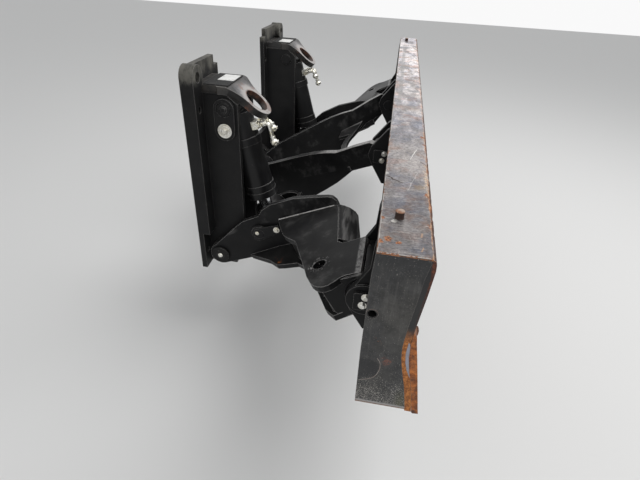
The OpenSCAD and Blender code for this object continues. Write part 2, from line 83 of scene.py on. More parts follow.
class Wire:
    """A value on its way through a tree. Sums with it become Math nodes, and | keeps the larger of two."""
    __add__, __radd__ = sum_of("ADD"), sum_of("ADD", True)
    __sub__, __rsub__ = sum_of("SUBTRACT"), sum_of("SUBTRACT", True)
    __mul__, __or__, __abs__ = sum_of("MULTIPLY"), sum_of("MAXIMUM"), sum_of("ABSOLUTE")

    def __init__(self, net, socket):
        self.net, self.socket = net, socket

    def fade(self, start, end, low=0.0, high=1.0):
        return self.net.take("ShaderNodeMapRange", {0: self, 1: start, 2: end, 3: low, 4: high},
            interpolation_type="SMOOTHSTEP")

    def stretched(self, scale):
        return self.net.take("ShaderNodeVectorMath", {0: self, 1: scale}, operation="MULTIPLY")

    def near(self, place, reach):
        """1 at a place on an axis, fading to 0 over the reach."""
        return abs(self - place).fade(0.0, reach, 1.0, 0.0)

    def lay(self, share, tint):
        """Lays a tint over this colour, where the share is above 0."""
        self.socket = self.net.mix(share, self, tint).socket


class Net:
    def __init__(self, tree):
        self.tree = tree
        tree.nodes.clear()

    def put(self, socket, value):
        if isinstance(value, Wire):
            self.tree.links.new(value.socket, socket)
        elif value is not None:
            size = len(socket.default_value) if hasattr(socket.default_value, "__len__") else 0
            if size and not hasattr(value, "__len__"):
                value = (value,) * size
            socket.default_value = (*value, 1.0) if size == 4 and len(value) == 3 else value

    def node(self, kind, inputs=None, **settings):
        made = self.tree.nodes.new(kind)
        for name, value in settings.items():
            setattr(made, name, value)
        for name, value in (inputs or {}).items():
            self.put(made.inputs[name], value)
        return made

    def take(self, kind, inputs=None, out=0, **settings):
        return Wire(self, self.node(kind, inputs, **settings).outputs[out])

    def outlets(self, made):
        return {socket.name: Wire(self, socket) for socket in made.outputs}

    def math(self, operation, a, b=0.0, clamp=False):
        return self.take("ShaderNodeMath", {0: a, 1: b}, operation=operation, use_clamp=clamp)

    def mix(self, share, a, b):
        return self.take("ShaderNodeMix", {0: share, 6: a, 7: b}, 2, data_type="RGBA")

    def place(self):
        return self.take("ShaderNodeTexCoord", out="Object")

    def noise(self, scale, detail=4.0, rough=0.55, distortion=0.0, drawn=None):
        """Noise over the object. Three scales draw it out along an axis."""
        vector = self.place()
        if isinstance(scale, tuple):
            scale, drawn = 1.0, scale
        if drawn is not None:
            vector = vector.stretched(drawn)
        return self.take("ShaderNodeTexNoise", {"Vector": vector, "Scale": scale, "Detail": detail,
            "Roughness": rough, "Distortion": distortion})

    def split(self, vector=None):
        parts = self.node("ShaderNodeSeparateXYZ", {0: vector or self.place()})
        return [Wire(self, socket) for socket in parts.outputs]

    def facing(self):
        return self.split(self.take("ShaderNodeNewGeometry", out="Normal"))

    def length(self, a, b):
        return self.math("SQRT", a * a + b * b)


def new_tree(name, kind, sockets):
    """A node tree with its named sockets. Returns the net, the inputs as wires and the sockets of its end."""
    tree = bpy.data.node_groups.new(name, kind)
    for way, label, kind, default in sockets:
        socket = tree.interface.new_socket(label, in_out=way, socket_type="NodeSocket" + kind)
        if default is not None:
            socket.default_value = default
    net = Net(tree)
    return net, net.outlets(net.node("NodeGroupInput")), net.node("NodeGroupOutput").inputs


def numbers_in(numbers):
    return [("INPUT", label, "Float", default) for label, default in numbers]


def shader_group(name, numbers, results=(("Mask", "Float"),)):
    ends = [("OUTPUT", label, kind, None) for label, kind in results]
    return new_tree(name, "ShaderNodeTree", numbers_in(numbers) + ends)


def use(net, group, **numbers):
    """Places a group in a material with its own values."""
    named = {label.replace("_", " ").capitalize(): value for label, value in numbers.items()}
    return net.outlets(net.node("ShaderNodeGroup", named, node_tree=group))


# %% [markdown]
# Paint on a machine goes first along its edges. The Bevel node gives the normal that a rounded edge
# would have, so where it leans away from the true normal there is an edge. Noise breaks the line up.

# %% Worn edges
net, given, out = shader_group("worn edges", [("Width", 0.004), ("Amount", 0.5), ("Scale", 60.0)])
bent = net.take("ShaderNodeBevel", {"Radius": given["Width"]}, samples=6)
true = net.take("ShaderNodeNewGeometry", out="Normal")
lean = net.take("ShaderNodeVectorMath", {0: bent, 1: true}, "Value", operation="DOT_PRODUCT")
broken = net.noise(given["Scale"], 5.0, 0.65)
height = (1.0 - lean) * 4.0 + (broken - 1.0) + given["Amount"] * 0.6
net.put(out["Mask"], height.fade(0.16, 0.34))
worn_edges = net.tree

# %% [markdown]
# Rust starts in spots that run together. One noise says where, a finer one eats its border, and the
# colour runs from dark red brown in old rust to bright orange in fresh rust.

# %% Rust
net, given, out = shader_group("rust", [("Scale", 8.0), ("Amount", 0.3), ("Orange", 0.5)],
    [("Mask", "Float"), ("Colour", "Color"), ("Crust", "Float")])
where = net.noise(given["Scale"], 3.0, 0.5)
eaten = net.noise(given["Scale"] * 9.0, 6.0, 0.7)
field = where * 0.72 + eaten * 0.28
edge = 0.72 - given["Amount"] * 0.45
net.put(out["Mask"], (field - edge).fade(-0.015, 0.025))
tone = net.noise(given["Scale"] * 4.0, 5.0, 0.7)
tone = net.math("ADD", tone, given["Orange"] - 0.5, clamp=True)
old = net.mix(tone.fade(0.3, 0.52), (0.055, 0.018, 0.01), (0.22, 0.065, 0.018))
net.put(out["Colour"], net.mix(tone.fade(0.5, 0.72), old, (0.56, 0.185, 0.045)))
net.put(out["Crust"], eaten)
rust = net.tree

# %% [markdown]
# Scratches are long thin marks. A noise that is squeezed across and drawn out along one direction
# gives them, and a sharp threshold leaves only its peaks.

# %% Scratches
net, given, out = shader_group("scratches", [("Along x", 6.0), ("Along y", 260.0), ("Along z", 6.0), ("Amount", 0.4)])
squeeze = net.take("ShaderNodeCombineXYZ", {0: given["Along x"], 1: given["Along y"], 2: given["Along z"]})
marks = net.noise(1.0, 4.0, 0.6, 0.35, squeeze)
edge = 0.78 - given["Amount"] * 0.25
net.put(out["Mask"], (marks - edge).fade(0.0, 0.06))
scratches = net.tree

# %% [markdown]
# Dust settles on what faces up and is rubbed off elsewhere, so its mask is the upward part of the
# normal, broken by a soft noise.

# %% Dust
net, given, out = shader_group("dust", [("Amount", 0.4), ("Scale", 14.0)])
lying = net.facing()[2].fade(0.25, 0.95, 0.25, 1.0)
patchy = net.noise(given["Scale"], 5.0, 0.6)
speck = net.noise(420.0, 2.0, 0.6)
cover = (patchy * 0.8 + speck * 0.35).fade(0.38, 0.85)
net.put(out["Mask"], net.math("MULTIPLY", cover * lying, given["Amount"], clamp=True))
dust = net.tree

# %% [markdown]
# Most of the unit wears one coat of black paint. The same recipe makes every painted finish: a base
# tone with faint patches, dust, bare metal on the edges, rust spots, and a fine orange-peel bump.

# %% Painted steel
STEEL = (0.36, 0.35, 0.34)
BLACK, WORN_BLACK = (0.0065, 0.0065, 0.007), (0.011, 0.011, 0.0115)


def scratch_lines(net, x, y, z, amount):
    return use(net, scratches, along_x=x, along_y=y, along_z=z, amount=amount)["Mask"]


def worn_lines(net, width, amount, scale=60.0):
    return use(net, worn_edges, width=width, amount=amount, scale=scale)["Mask"]


def surface(name):
    """A new material, as the net of its nodes."""
    material = bpy.data.materials.new(name)
    material.use_nodes = True
    net = Net(material.node_tree)
    net.material = material
    return net


def shine(net, colour, rough, metal, height=None, strength=0.0, distance=0.0, rounded=0.0, **plain):
    """The last nodes of a finish: rounded edges, bump, Principled and output."""
    normal = None
    if height is not None:
        normal = net.take("ShaderNodeBevel", {"Radius": rounded}, samples=4) if rounded else None
        normal = net.take("ShaderNodeBump", {"Height": height, "Strength": strength, "Distance": distance,
            "Normal": normal})
    inputs = {"Base Color": colour, "Roughness": rough, "Metallic": metal, "Normal": normal}
    inputs.update({label.replace("_", " "): value for label, value in plain.items()})
    net.node("ShaderNodeOutputMaterial", {"Surface": net.take("ShaderNodeBsdfPrincipled", inputs)})
    return net.material


def painted(name, tone, patch, edge, rusty, dusty, gloss, sheen, dust_tone, scratched=0.3, bare=STEEL,
    extra_bare_and_lit=None, edge_mix=0.55, extra_dust=None):
    net = surface(name)
    broad = net.noise(5.0, 5.0, 0.6)
    colour = net.mix(broad.fade(0.35, 0.68), tone, patch)
    marks = scratch_lines(net, 9.0, 75.0, 75.0, scratched)
    colour.lay(marks * 0.35, STEEL)
    powder = use(net, dust, amount=dusty)["Mask"]
    if extra_dust is not None:
        powder = powder | extra_dust(net)
    colour.lay(powder, dust_tone)
    rubbed = worn_lines(net, 0.004, edge) * edge_mix
    # The extra mask may carry painted light as well as bare steel, as on the arms' bent lip.
    if extra_bare_and_lit is not None:
        rubbed = rubbed | extra_bare_and_lit(net)
    colour.lay(rubbed, bare)
    spots = use(net, rust, scale=7.0, amount=rusty)
    red = spots["Mask"]
    colour.lay(red, spots["Colour"])
    metal = rubbed * (1.0 - red) * 0.75
    rough = broad.fade(0.3, 0.7, gloss - 0.06, gloss + 0.1)
    rough = net.math("ADD", rough, (powder | red) * 0.35, clamp=True)
    peel = net.noise(240.0, 3.0) * 0.25
    relief = peel + spots["Crust"] * red * 1.2 - (rubbed | marks) * 0.35
    return shine(net, colour, rough, metal, relief, 0.35, 0.0008, rounded=0.0022, Specular_IOR_Level=sheen)


ROOT_Y, ROOT_Z, ARM_LEAN = -0.08, -0.28, 27.35
ARM_C, ARM_S = math.cos(math.radians(ARM_LEAN)), math.sin(math.radians(ARM_LEAN))


def arm_wear_and_lip_light(net):
    """Bare places on a lower arm round its hole and along its tip, and painted light on the facets of its bent lip."""
    x, y, z = net.split()
    wide = abs(x)
    up, back = z - ROOT_Z, y - ROOT_Y
    ahead = up * ARM_S - back * ARM_C
    over = up * ARM_C + back * ARM_S
    off = net.length(wide - 0.947, ahead - 0.538)
    fleck = net.noise((95.0, 150.0, 150.0), 5.0, 0.7, 0.8)
    cloud = net.noise(14.0, 6.0, 0.68)
    hole = abs(off - 0.026).fade(0.002, 0.015, 1.0, 0.0) * fleck.fade(0.57, 0.63, 0.0, 0.9)
    tip = ahead.fade(0.649, 0.655) * wide.fade(0.86, 0.868)
    tip = tip * over.fade(0.05, 0.06) * fleck.fade(0.4, 0.58, 0.1, 0.55)
    line = ahead - (0.5375 + (wide - 0.602) * 0.146)
    lip_painted_light = line.fade(0.012, 0.02) * wide.fade(0.598, 0.603) * wide.fade(0.846, 0.84)
    # On the bent lip the facets are lightened in bands: painted light, standing in for the sky caught by each facet.
    lip_light_bands = net.noise((5.0, 75.0, 75.0), 3.0, 0.6)
    lip_painted_light = lip_painted_light * lip_light_bands.fade(0.4, 0.6, 0.05, 0.36)
    top = over.fade(0.0655, 0.066) * cloud.fade(0.5, 0.72, 0.0, 0.1)
    facing_up = net.facing()[2].fade(0.74, 0.86)
    link_edge = wide.fade(0.385, 0.375) * wide.fade(0.24, 0.26)
    link_edge = link_edge * facing_up * y.fade(-0.38, -0.44) * fleck.fade(0.38, 0.58, 0.3, 0.8)
    return hole | tip | lip_painted_light | top | link_edge


def dusty_head(net):
    """Road dust that lies thick on the top of the flange and thins out downwards."""
    cloud = net.noise((26.0, 26.0, 15.0), 6.0, 0.72)
    height = net.split()[2] + (cloud - 0.5) * 0.1
    return height.fade(0.35, 0.395) * cloud.fade(0.34, 0.62, 0.2, 0.85)


frame_paint = painted("frame paint", BLACK, WORN_BLACK, edge=0.16, rusty=0.03,
    extra_dust=dusty_head, dusty=0.16, gloss=0.44, sheen=0.18, dust_tone=(0.155, 0.148, 0.13))
arm_paint = painted("arm paint", (0.005, 0.005, 0.0054), (0.008, 0.008, 0.0086), edge=0.38, rusty=0.08, dusty=0.2,
    gloss=0.42, bare=(0.42, 0.41, 0.4), sheen=0.16, dust_tone=(0.12, 0.117, 0.113), edge_mix=0.8, scratched=0.12,
    extra_bare_and_lit=arm_wear_and_lip_light)
cylinder_paint = painted("cylinder paint", (0.006, 0.006, 0.0065), (0.01, 0.01, 0.0105), edge=0.12, rusty=0.02,
    dusty=0.14, gloss=0.36, sheen=0.28, dust_tone=(0.085, 0.08, 0.074))
print("painted finishes:", 3)

# %% [markdown]
# Patterns on the blade are tied to its own edges: the back and front of the top plate, its height, the
# lower edge and half the sheet's length.

# %% Places on the blade
BACK, FRONT, TOP, BOTTOM, HALF = -0.67, -0.776, 0.3, -0.119, 1.2488

# %% [markdown]
# Single marks are placed one by one, as a painter would: a long scratch, a crack in the paint, a stain. A
# group turns a place, a direction and a length into a soft-ended stroke, and another makes a round spot.

# %% Strokes and spots
net, given, out = shader_group("stroke",
    [("At x", 0.0), ("At y", 0.0), ("Angle", 0.0), ("Half length", 0.05), ("Half width", 0.001)])
x, y, z = net.split()
wobble = (net.noise(55.0, 3.0) - 0.5) * 0.006
dx = x - given["At x"]
dy = y - given["At y"]
cosine, sine = net.math("COSINE", given["Angle"]), net.math("SINE", given["Angle"])
ahead = dx * cosine + dy * sine
aside = dy * cosine - dx * sine
aside = abs(aside + wobble)
thin = aside.fade(given["Half width"] * 0.4, given["Half width"], 1.0, 0.0)
short = abs(ahead).fade(given["Half length"] * 0.7, given["Half length"], 1.0, 0.0)
net.put(out["Mask"], thin * short)
stroke = net.tree

net, given, out = shader_group("spot", [("At x", 0.0), ("At y", 0.0), ("Radius", 0.01)])
x, y, z = net.split()
dx = x - given["At x"]
dy = y - given["At y"]
off = net.length(dx, dy)
rough_rim = (net.noise(120.0, 4.0, 0.7) - 0.5) * 2.4
off = off + rough_rim * given["Radius"]
net.put(out["Mask"], off.fade(given["Radius"] * 0.55, given["Radius"], 1.0, 0.0))
spot = net.tree


def any_of(net, group, rows):
    """All rows of a group's values as one mask."""
    total = 0.0
    for row in rows:
        total = use(net, group, **row)["Mask"] | total
    return total


def strokes(net, rows):
    """Strokes from one point to another, with a width."""
    return any_of(net, stroke, [{"at_x": (x0 + x1) / 2, "at_y": (y0 + y1) / 2, "half_width": width / 2,
        "angle": math.atan2(y1 - y0, x1 - x0), "half_length": math.hypot(x1 - x0, y1 - y0) / 2}
        for (x0, y0), (x1, y1), width in rows])


def spots_of(net, rows):
    return any_of(net, spot, [{"at_x": x, "at_y": y, "radius": radius} for x, y, radius in rows])


# %% [markdown]
# The sheet carries several finishes on one surface: grey worn steel on top with cross streaks, a dark
# red rim along the front corner with orange chips, charcoal paint behind and at the ends, and scoured
# steel in front. Height and direction decide which one shows.

# %% Finish of the bent sheet
def sheet_finish():
    net = surface("blade sheet, worn")
    x, y, z = net.split()
    turn = net.facing()
    on_top = z.fade(TOP - 0.006, TOP - 0.003)
    ahead = (turn[1] * -1.0).fade(0.35, 0.65)
    end_face = abs(turn[0]).fade(0.5, 0.7)
    broad = net.noise(6.0, 6.0, 0.62)
    cloudy = net.noise((70.0, 13.0, 16.0), 5.0, 0.62, 0.5)
    fine = net.noise((330.0, 70.0, 70.0), 4.0, 0.65)
    top = net.mix(broad.fade(0.36, 0.64), (0.165, 0.165, 0.19), (0.285, 0.27, 0.27))
    cool = net.noise(15.0, 5.0, 0.65, 0.4)
    top.lay(cool.fade(0.5, 0.64, 0.0, 0.65), (0.145, 0.156, 0.2))
    rosy = net.noise((26.0, 11.0, 11.0), 5.0, 0.68, 0.5)
    top.lay(rosy.fade(0.54, 0.68, 0.0, 0.5), (0.25, 0.17, 0.15))
    top.lay(cloudy.fade(0.52, 0.7) * 0.6, (0.42, 0.405, 0.4))
    top.lay(fine.fade(0.5, 0.66) * 0.4, (0.095, 0.085, 0.088))
    brown = net.noise(13.0, 5.0, 0.65) + (y.near(BACK, 0.03) + y.near(FRONT, 0.04)) * 0.07
    top.lay(brown.fade(0.53, 0.68) * 0.6, (0.19, 0.115, 0.085))
    grain = net.noise((210.0, 130.0, 130.0), 5.0, 0.75)
    top = top.stretched(grain.fade(0.36, 0.64, 0.68, 1.3))
    across = scratch_lines(net, 240.0, 16.0, 20.0, 0.7)
    askew = scratch_lines(net, 34.0, 190.0, 20.0, 0.5)
    marks = across | askew
    top.lay(marks * 0.5, (0.55, 0.53, 0.51))
    bands = net.noise((13.0, 24.0, 12.0), 6.0, 0.72, 0.6)
    # The top grows lighter towards the far end, +x. This is partly bare polished steel and partly a painted sheen that
    # stands in for the grazing reflection there. The bands across it grow stronger the same way.
    polish_and_painted_sheen = x.fade(-1.2, -0.88, 0.66, 1.1) + x.fade(-0.88, -0.2, 0.0, 0.86)
    polish_and_painted_sheen = polish_and_painted_sheen + x.fade(-0.2, 0.55, 0.0, 0.58)
    contrast = x.fade(-1.1, 0.3, 0.2, 0.5)
    bands = (bands.fade(0.36, 0.64) - 0.5) * (contrast * 2.0)
    top = top.stretched(polish_and_painted_sheen * (bands + 1.0))
    smear = strokes(net, [((-0.42, -0.69), (0.92, -0.699), 0.022)])
    top.lay(smear * 0.5, (0.27, 0.27, 0.27))
    warmer = (1.03, 1.0, 0.965)
    top = top.stretched(warmer)
    # A dark streak from the far stud towards the camera: painted shade of the stud on the top plate.
    painted_stud_shade = strokes(net, [((1.112, -0.708), (1.03, -0.711), 0.02)])
    top.lay(painted_stud_shade * 0.75, (0.085, 0.085, 0.088))
    light = strokes(net,
        [((-0.825, -0.726), (-0.735, -0.747), 0.0023), ((-0.3, -0.7), (-0.22, -0.72), 0.003),
        ((0.42, -0.69), (0.55, -0.73), 0.004)])
    faint = strokes(net, [((-1.005, -0.721), (-0.888, -0.747), 0.0022)])
    top.lay(light | faint * 0.32, (0.72, 0.7, 0.67))
    dark = strokes(net,
        [((-0.928, -0.668), (-0.936, -0.684), 0.0075), ((-0.934, -0.684), (-0.95, -0.692), 0.006),
        ((-0.945, -0.69), (-0.956, -0.706), 0.006), ((-0.823, -0.752), (-0.847, -0.774), 0.0036),
        ((-0.956, -0.704), (-0.962, -0.712), 0.004), ((0.1, -0.68), (0.13, -0.7), 0.004)])
    top.lay(dark, (0.03, 0.016, 0.012))
    stain = spots_of(net, [(-0.975, -0.748, 0.017), (0.35, -0.71, 0.02)])
    top.lay(stain * 0.45, (0.25, 0.17, 0.085))
    shade = spots_of(net, [(-1.139, -0.697, 0.0085)])
    top.lay(shade * 0.7, (0.06, 0.055, 0.05))
    bright = spots_of(net, [(-0.914, -0.673, 0.007), (-1.135, -0.698, 0.008)])
    top.lay(bright * 0.8, (0.66, 0.64, 0.6))
    tan = strokes(net, [((-1.233, -0.7485), (-1.216, -0.752), 0.004), ((-1.186, -0.7485), (-1.168, -0.75), 0.005)])
    top.lay(tan * 0.55, (0.44, 0.27, 0.16))
    back = net.mix(broad.fade(0.35, 0.68), (0.01, 0.01, 0.01), (0.018, 0.0175, 0.017))
    scoured = net.mix(broad.fade(0.36, 0.64), (0.075, 0.068, 0.062), (0.16, 0.145, 0.13))
    drag = scratch_lines(net, 6.0, 150.0, 150.0, 0.75)
    scoured.lay(drag * 0.55, (0.34, 0.32, 0.3))
    colour = net.mix(ahead, back, scoured)
    colour.lay(on_top, top)
    charcoal = net.mix(broad.fade(0.35, 0.68), (0.02, 0.02, 0.021), (0.034, 0.033, 0.032))
    colour.lay(end_face, charcoal)
    tones = use(net, rust, scale=10.0, amount=0.12, orange=0.62)
    flake = net.noise((30.0, 110.0, 110.0), 6.0, 0.75)
    patch = net.noise(4.2, 3.0, 0.6)
    rim = y.fade(FRONT + 0.005, FRONT + 0.001) * z.fade(TOP - 0.03, TOP - 0.016)
    wide = abs(x)
    near_end = wide.fade(0.78, 1.1)
    chips = y.near(FRONT + 0.003, 0.006 + near_end * 0.007) | y.near(BACK, 0.008) * 0.72
    chips = chips | wide.near(HALF, 0.005)
    score = chips * 0.31 + patch * 0.46
    chips = (score + flake * 0.68).fade(0.795, 0.85) * z.fade(TOP - 0.022, TOP - 0.015)
    hand_spots = spots_of(net,
        [(-1.202, -0.688, 0.01), (-1.211, -0.707, 0.006), (-1.128, -0.673, 0.008), (-1.212, -0.673, 0.009),
        (-0.64, -0.766, 0.012), (-0.7, -0.772, 0.01), (-1.01, -0.772, 0.014)])
    hand_spots = hand_spots * z.fade(TOP - 0.03, TOP - 0.016, 0.0, 0.85)
    keep_off = 1.0 - end_face
    red = (chips | hand_spots | tones["Mask"] * 0.6) * keep_off
    crumb = net.noise(210.0, 5.0, 0.75)
    flecks = (crumb + y.near(FRONT + 0.01, 0.016) * x.near(-0.93, 0.2) * 0.2).fade(0.675, 0.715)
    orange = net.mix(flake.fade(0.44, 0.6), tones["Colour"], (0.38, 0.15, 0.055))
    orange.lay(crumb.fade(0.54, 0.42, 0.0, 0.9), (0.075, 0.026, 0.014))
    line = y.fade(FRONT + 0.009, FRONT + 0.0055) * patch.fade(0.66, 0.56)
    orange.lay(line, (0.052, 0.02, 0.012))
    orange.lay(crumb.fade(0.56, 0.64, 0.0, 0.7), (0.48, 0.36, 0.26))
    colour.lay(red, orange)
    colour.lay(rim * flake.fade(0.66, 0.54, 0.45, 1.0), (0.05, 0.018, 0.011))
    colour.lay(flecks * (on_top * 0.8), (0.6, 0.45, 0.3))
    rub = y.near(FRONT + 0.0076, 0.0026) * z.fade(TOP - 0.012, TOP - 0.006)
    rub = rub * (keep_off * flake.fade(0.42, 0.54, 0.15, 0.9))
    colour.lay(rub, net.mix(crumb.fade(0.46, 0.58), (0.36, 0.15, 0.06), (0.56, 0.42, 0.29)))
    depth = y - (FRONT - 0.0031 + (TOP - z) * 0.08)
    scab = (flake - 0.5) * 0.006
    broad_at_top = z.fade(TOP - 0.05, TOP - 0.014, 0.0042, 0.01)
    lined = (depth + scab - broad_at_top).fade(0.0008, -0.0012) * end_face
    lined = lined * z.fade(TOP - 0.13, TOP - 0.025, 0.25, 1.0)
    colour.lay(lined, net.mix(crumb.fade(0.5, 0.6), (0.06, 0.017, 0.01), (0.15, 0.045, 0.02)))
    low_end = end_face * z.fade(TOP - 0.165, TOP - 0.215) * patch.fade(0.3, 0.42, 0.7, 1.0)
    colour.lay(low_end, net.mix(flake.fade(0.4, 0.6), (0.22, 0.075, 0.022), (0.52, 0.2, 0.055)))
    bare_rim = y.fade(BACK - 0.0034, BACK - 0.0012) | wide.fade(1.2468, 1.2482)
    bare_rim = bare_rim * (on_top * flake.fade(0.58, 0.48))
    colour.lay(bare_rim * 0.8, (0.55, 0.53, 0.5))
    seam = z.fade(TOP - 0.0014, TOP - 0.002) * z.fade(TOP - 0.006, TOP - 0.0042) * end_face
    colour.lay(seam, net.mix(flake.fade(0.46, 0.56), (0.075, 0.03, 0.018), (0.42, 0.16, 0.06)))
    red = red | rim | low_end
    rough = net.math("ADD", broad.fade(0.3, 0.7, 0.34, 0.48), red * 0.35, clamp=True)
    relief = red * -0.8 + tones["Crust"] * 0.35 - (marks | dark) * 0.4
    relief = relief + net.noise(90.0, 4.0) * 0.5
    steel = on_top * 0.55 | ahead * 0.4
    metal = (1.0 - red) * steel * keep_off
    return shine(net, colour, rough, metal, relief, 0.5, 0.0011, Specular_IOR_Level=0.35)


# %% [markdown]
# The end plates are charcoal with faint upright streaks. Dirt thrown up from the ground has peppered
# the lower third, the lower edge is ground bare, and a patch beside the weld was burnt reddish.

# %% Finish of the end plates
def end_finish():
    net = surface("end plate paint")
    _, y, z = net.split()
    broad = net.noise(9.0, 5.0, 0.6)
    colour = net.mix(broad.fade(0.36, 0.66), (0.036, 0.036, 0.037), (0.062, 0.06, 0.056))
    run = net.noise((120.0, 120.0, 7.0), 5.0, 0.7)
    colour.lay(run.fade(0.5, 0.72) * 0.5, (0.105, 0.102, 0.098))
    mottle = net.noise(42.0, 6.0, 0.72)
    colour = colour.stretched(mottle.fade(0.34, 0.66, 0.74, 1.28))
    # Painted shade: the end plate darkens towards its top edge.
    high = z.fade(TOP - 0.085, TOP - 0.005)
    colour.lay(high * 0.75, (0.024, 0.025, 0.027))
    speck = net.noise(380.0, 3.0, 0.8)
    soft = net.noise(24.0, 4.0, 0.6)
    low = z.fade(TOP - 0.27, TOP - 0.4, 0.0, 0.115)
    pepper = (speck + low + soft * 0.16).fade(0.725, 0.765)
    colour.lay(pepper * 0.85, (0.36, 0.34, 0.31))
    scar = net.noise((60.0, 60.0, 22.0), 5.0, 0.75)
    colour.lay(scar.fade(0.66, 0.74) * 0.6, (0.26, 0.25, 0.24))
    mend_y = y - (BACK - 0.012)
    mend_z = z - (TOP - 0.3)
    off = net.length(mend_y, mend_z)
    darker = off.fade(0.024, 0.036, 0.7, 0.0)
    colour.lay(darker, (0.018, 0.0185, 0.021))
    burnt_y = y - (BACK - 0.052)
    burnt_z = z - (TOP - 0.272)
    burnt = net.length(burnt_y, burnt_z) + (net.noise(70.0, 4.0, 0.7) - 0.5) * 0.03
    burnt = burnt.fade(0.003, 0.014, 0.75, 0.0) * net.noise(190.0, 4.0, 0.7).fade(0.42, 0.6)
    colour.lay(burnt, (0.24, 0.08, 0.05))
    corner_y = y.near(BACK - 0.098, 0.02)
    corner_z = z.near(TOP - 0.395, 0.06)
    mossy = corner_y * corner_z * 0.55
    colour.lay(mossy, (0.085, 0.085, 0.045))
    ragged = (net.noise(150.0, 4.0, 0.7) - 0.5) * 0.006
    edge = z + ragged
    ground = edge.fade(BOTTOM + 0.016, BOTTOM + 0.012)
    colour.lay(ground * 0.9, (0.36, 0.345, 0.335))
    rusty = edge.fade(BOTTOM + 0.0095, BOTTOM + 0.0065)
    colour.lay(rusty * 0.85, (0.2, 0.105, 0.062))
    top_rim = (z + ragged * 0.25).fade(TOP - 0.0046, TOP - 0.0036)
    fleck = net.noise((90.0, 90.0, 90.0), 4.0, 0.7)
    rim_tone = net.mix(fleck.fade(0.45, 0.55), (0.09, 0.04, 0.024), (0.42, 0.17, 0.06))
    colour.lay(top_rim, rim_tone)
    rubbed = worn_lines(net, 0.003, 0.4, 90.0)
    colour.lay(rubbed * 0.55, (0.26, 0.24, 0.22))
    spots = use(net, rust, scale=16.0, amount=0.1, orange=0.55)
    colour.lay(spots["Mask"] * 0.7, spots["Colour"])
    rough = broad.fade(0.3, 0.7, 0.5, 0.66)
    relief = speck * 0.4 + scar * 0.4
    return shine(net, colour, rough, ground * 0.5, relief, 0.4, 0.0009, Specular_IOR_Level=0.35)


blade_paint = end_finish()
bracket_paint = painted("bracket paint", BLACK, WORN_BLACK, edge=0.2, rusty=0.04,
    dusty=0.14, gloss=0.44, sheen=0.18, dust_tone=(0.085, 0.08, 0.074))
top_finish = sheet_finish()
print("blade finishes:", 3)

# %% [markdown]
# The cutting edge and the studs are bare steel, so rust covers them whole. Here the rust group gives
# the colour everywhere, and the bump is coarse, with pits.

# %% Bare rusted steel
def rusted(name, orange, scale, darker=0.0, dark_below=None, painted_light_above=None, scoured=False):
    net = surface(name)
    tones = use(net, rust, scale=scale, amount=1.0, orange=orange)
    pits = net.noise(75.0, 6.0, 0.7)
    colour = net.mix(pits.fade(0.36, 0.6, 0.55 + darker, 0.0), tones["Colour"], (0.045, 0.02, 0.013))
    wiped = worn_lines(net, 0.003, 0.2, 40.0)
    colour.lay(wiped * 0.5, (0.34, 0.27, 0.22))
    height = net.split()[2]
    if dark_below is not None:
        low = (height + (pits - 0.5) * 0.05).fade(dark_below + 0.01, dark_below - 0.006, 0.0, 0.75)
        colour.lay(low, (0.06, 0.024, 0.014))
    if scoured:
        ahead = net.facing()[1].fade(-0.3, -0.6)
        cake = net.noise((3.2, 7.0, 7.0), 5.0, 0.62, 0.4)
        brown = net.mix(pits, (0.055, 0.026, 0.015), (0.15, 0.07, 0.034))
        colour.lay(ahead * cake.fade(0.36, 0.6, 0.35, 0.88), brown)
        drag = scratch_lines(net, 5.0, 130.0, 130.0, 0.85)
        worn = drag * height.fade(BOTTOM + 0.12, BOTTOM + 0.01, 0.25, 0.8)
        colour.lay(ahead * worn, (0.27, 0.235, 0.205))
    # For the studs: the whole stud is darkened as painted shade, and the band near its top, above the given height, is
    # lightened as painted light.
    if painted_light_above is not None:
        colour.lay(0.6, (0.022, 0.013, 0.01))
        high = height.fade(painted_light_above, painted_light_above + 0.0015, 0.0, 0.8)
        colour.lay(high, net.mix(pits.fade(0.45, 0.55), (0.3, 0.14, 0.075), (0.5, 0.4, 0.33)))
    rough = pits.fade(0.3, 0.7, 0.72, 0.92)
    return shine(net, colour, rough, 0.0, pits, 0.8, 0.0016)


rusty_edge = rusted("rusty edge", 0.6, 12.0, dark_below=BOTTOM + 0.002, scoured=True)
rusty_bolt = rusted("rusty bolt", 0.42, 30.0, 0.2)
rusty_stud = rusted("rusty stud", 0.02, 30.0, 0.55, painted_light_above=TOP + 0.0136)

# %% [markdown]
# Pins, keeper bolts and hose fittings are zinc plated, which is a pale grey metal with a faint yellow
# bloom. The piston rod is hard chrome, smooth and clean.

# %% Plated metals
def plated(name, clean, bloom, rough_low, rough_high, dirt=0.25):
    net = surface(name)
    cloud = net.noise(45.0, 4.0, 0.6)
    colour = net.mix(cloud.fade(0.38, 0.66), clean, bloom)
    grime = net.noise(130.0, 4.0, 0.7)
    colour.lay(grime.fade(0.52, 0.7) * dirt, (0.07, 0.055, 0.04))
    rough = grime.fade(0.35, 0.7, rough_low, rough_high)
    return shine(net, colour, rough, 0.85, grime, 0.15, 0.0004, rounded=0.001)


zinc = plated("zinc", (0.8, 0.79, 0.75), (0.66, 0.63, 0.54), 0.24, 0.42)
fitting_zinc = plated("fitting zinc", (0.86, 0.85, 0.8), (0.7, 0.66, 0.52), 0.22, 0.4, 0.35)
cut_steel = plated("cut steel", (0.34, 0.345, 0.4), (0.28, 0.27, 0.3), 0.45, 0.6, 0.2)
weld_grey = plated("weld grey", (0.34, 0.31, 0.29), (0.22, 0.18, 0.16), 0.5, 0.7, 0.3)
bare_weld = plated("bare weld", (0.5, 0.49, 0.48), (0.3, 0.29, 0.28), 0.35, 0.55, 0.65)


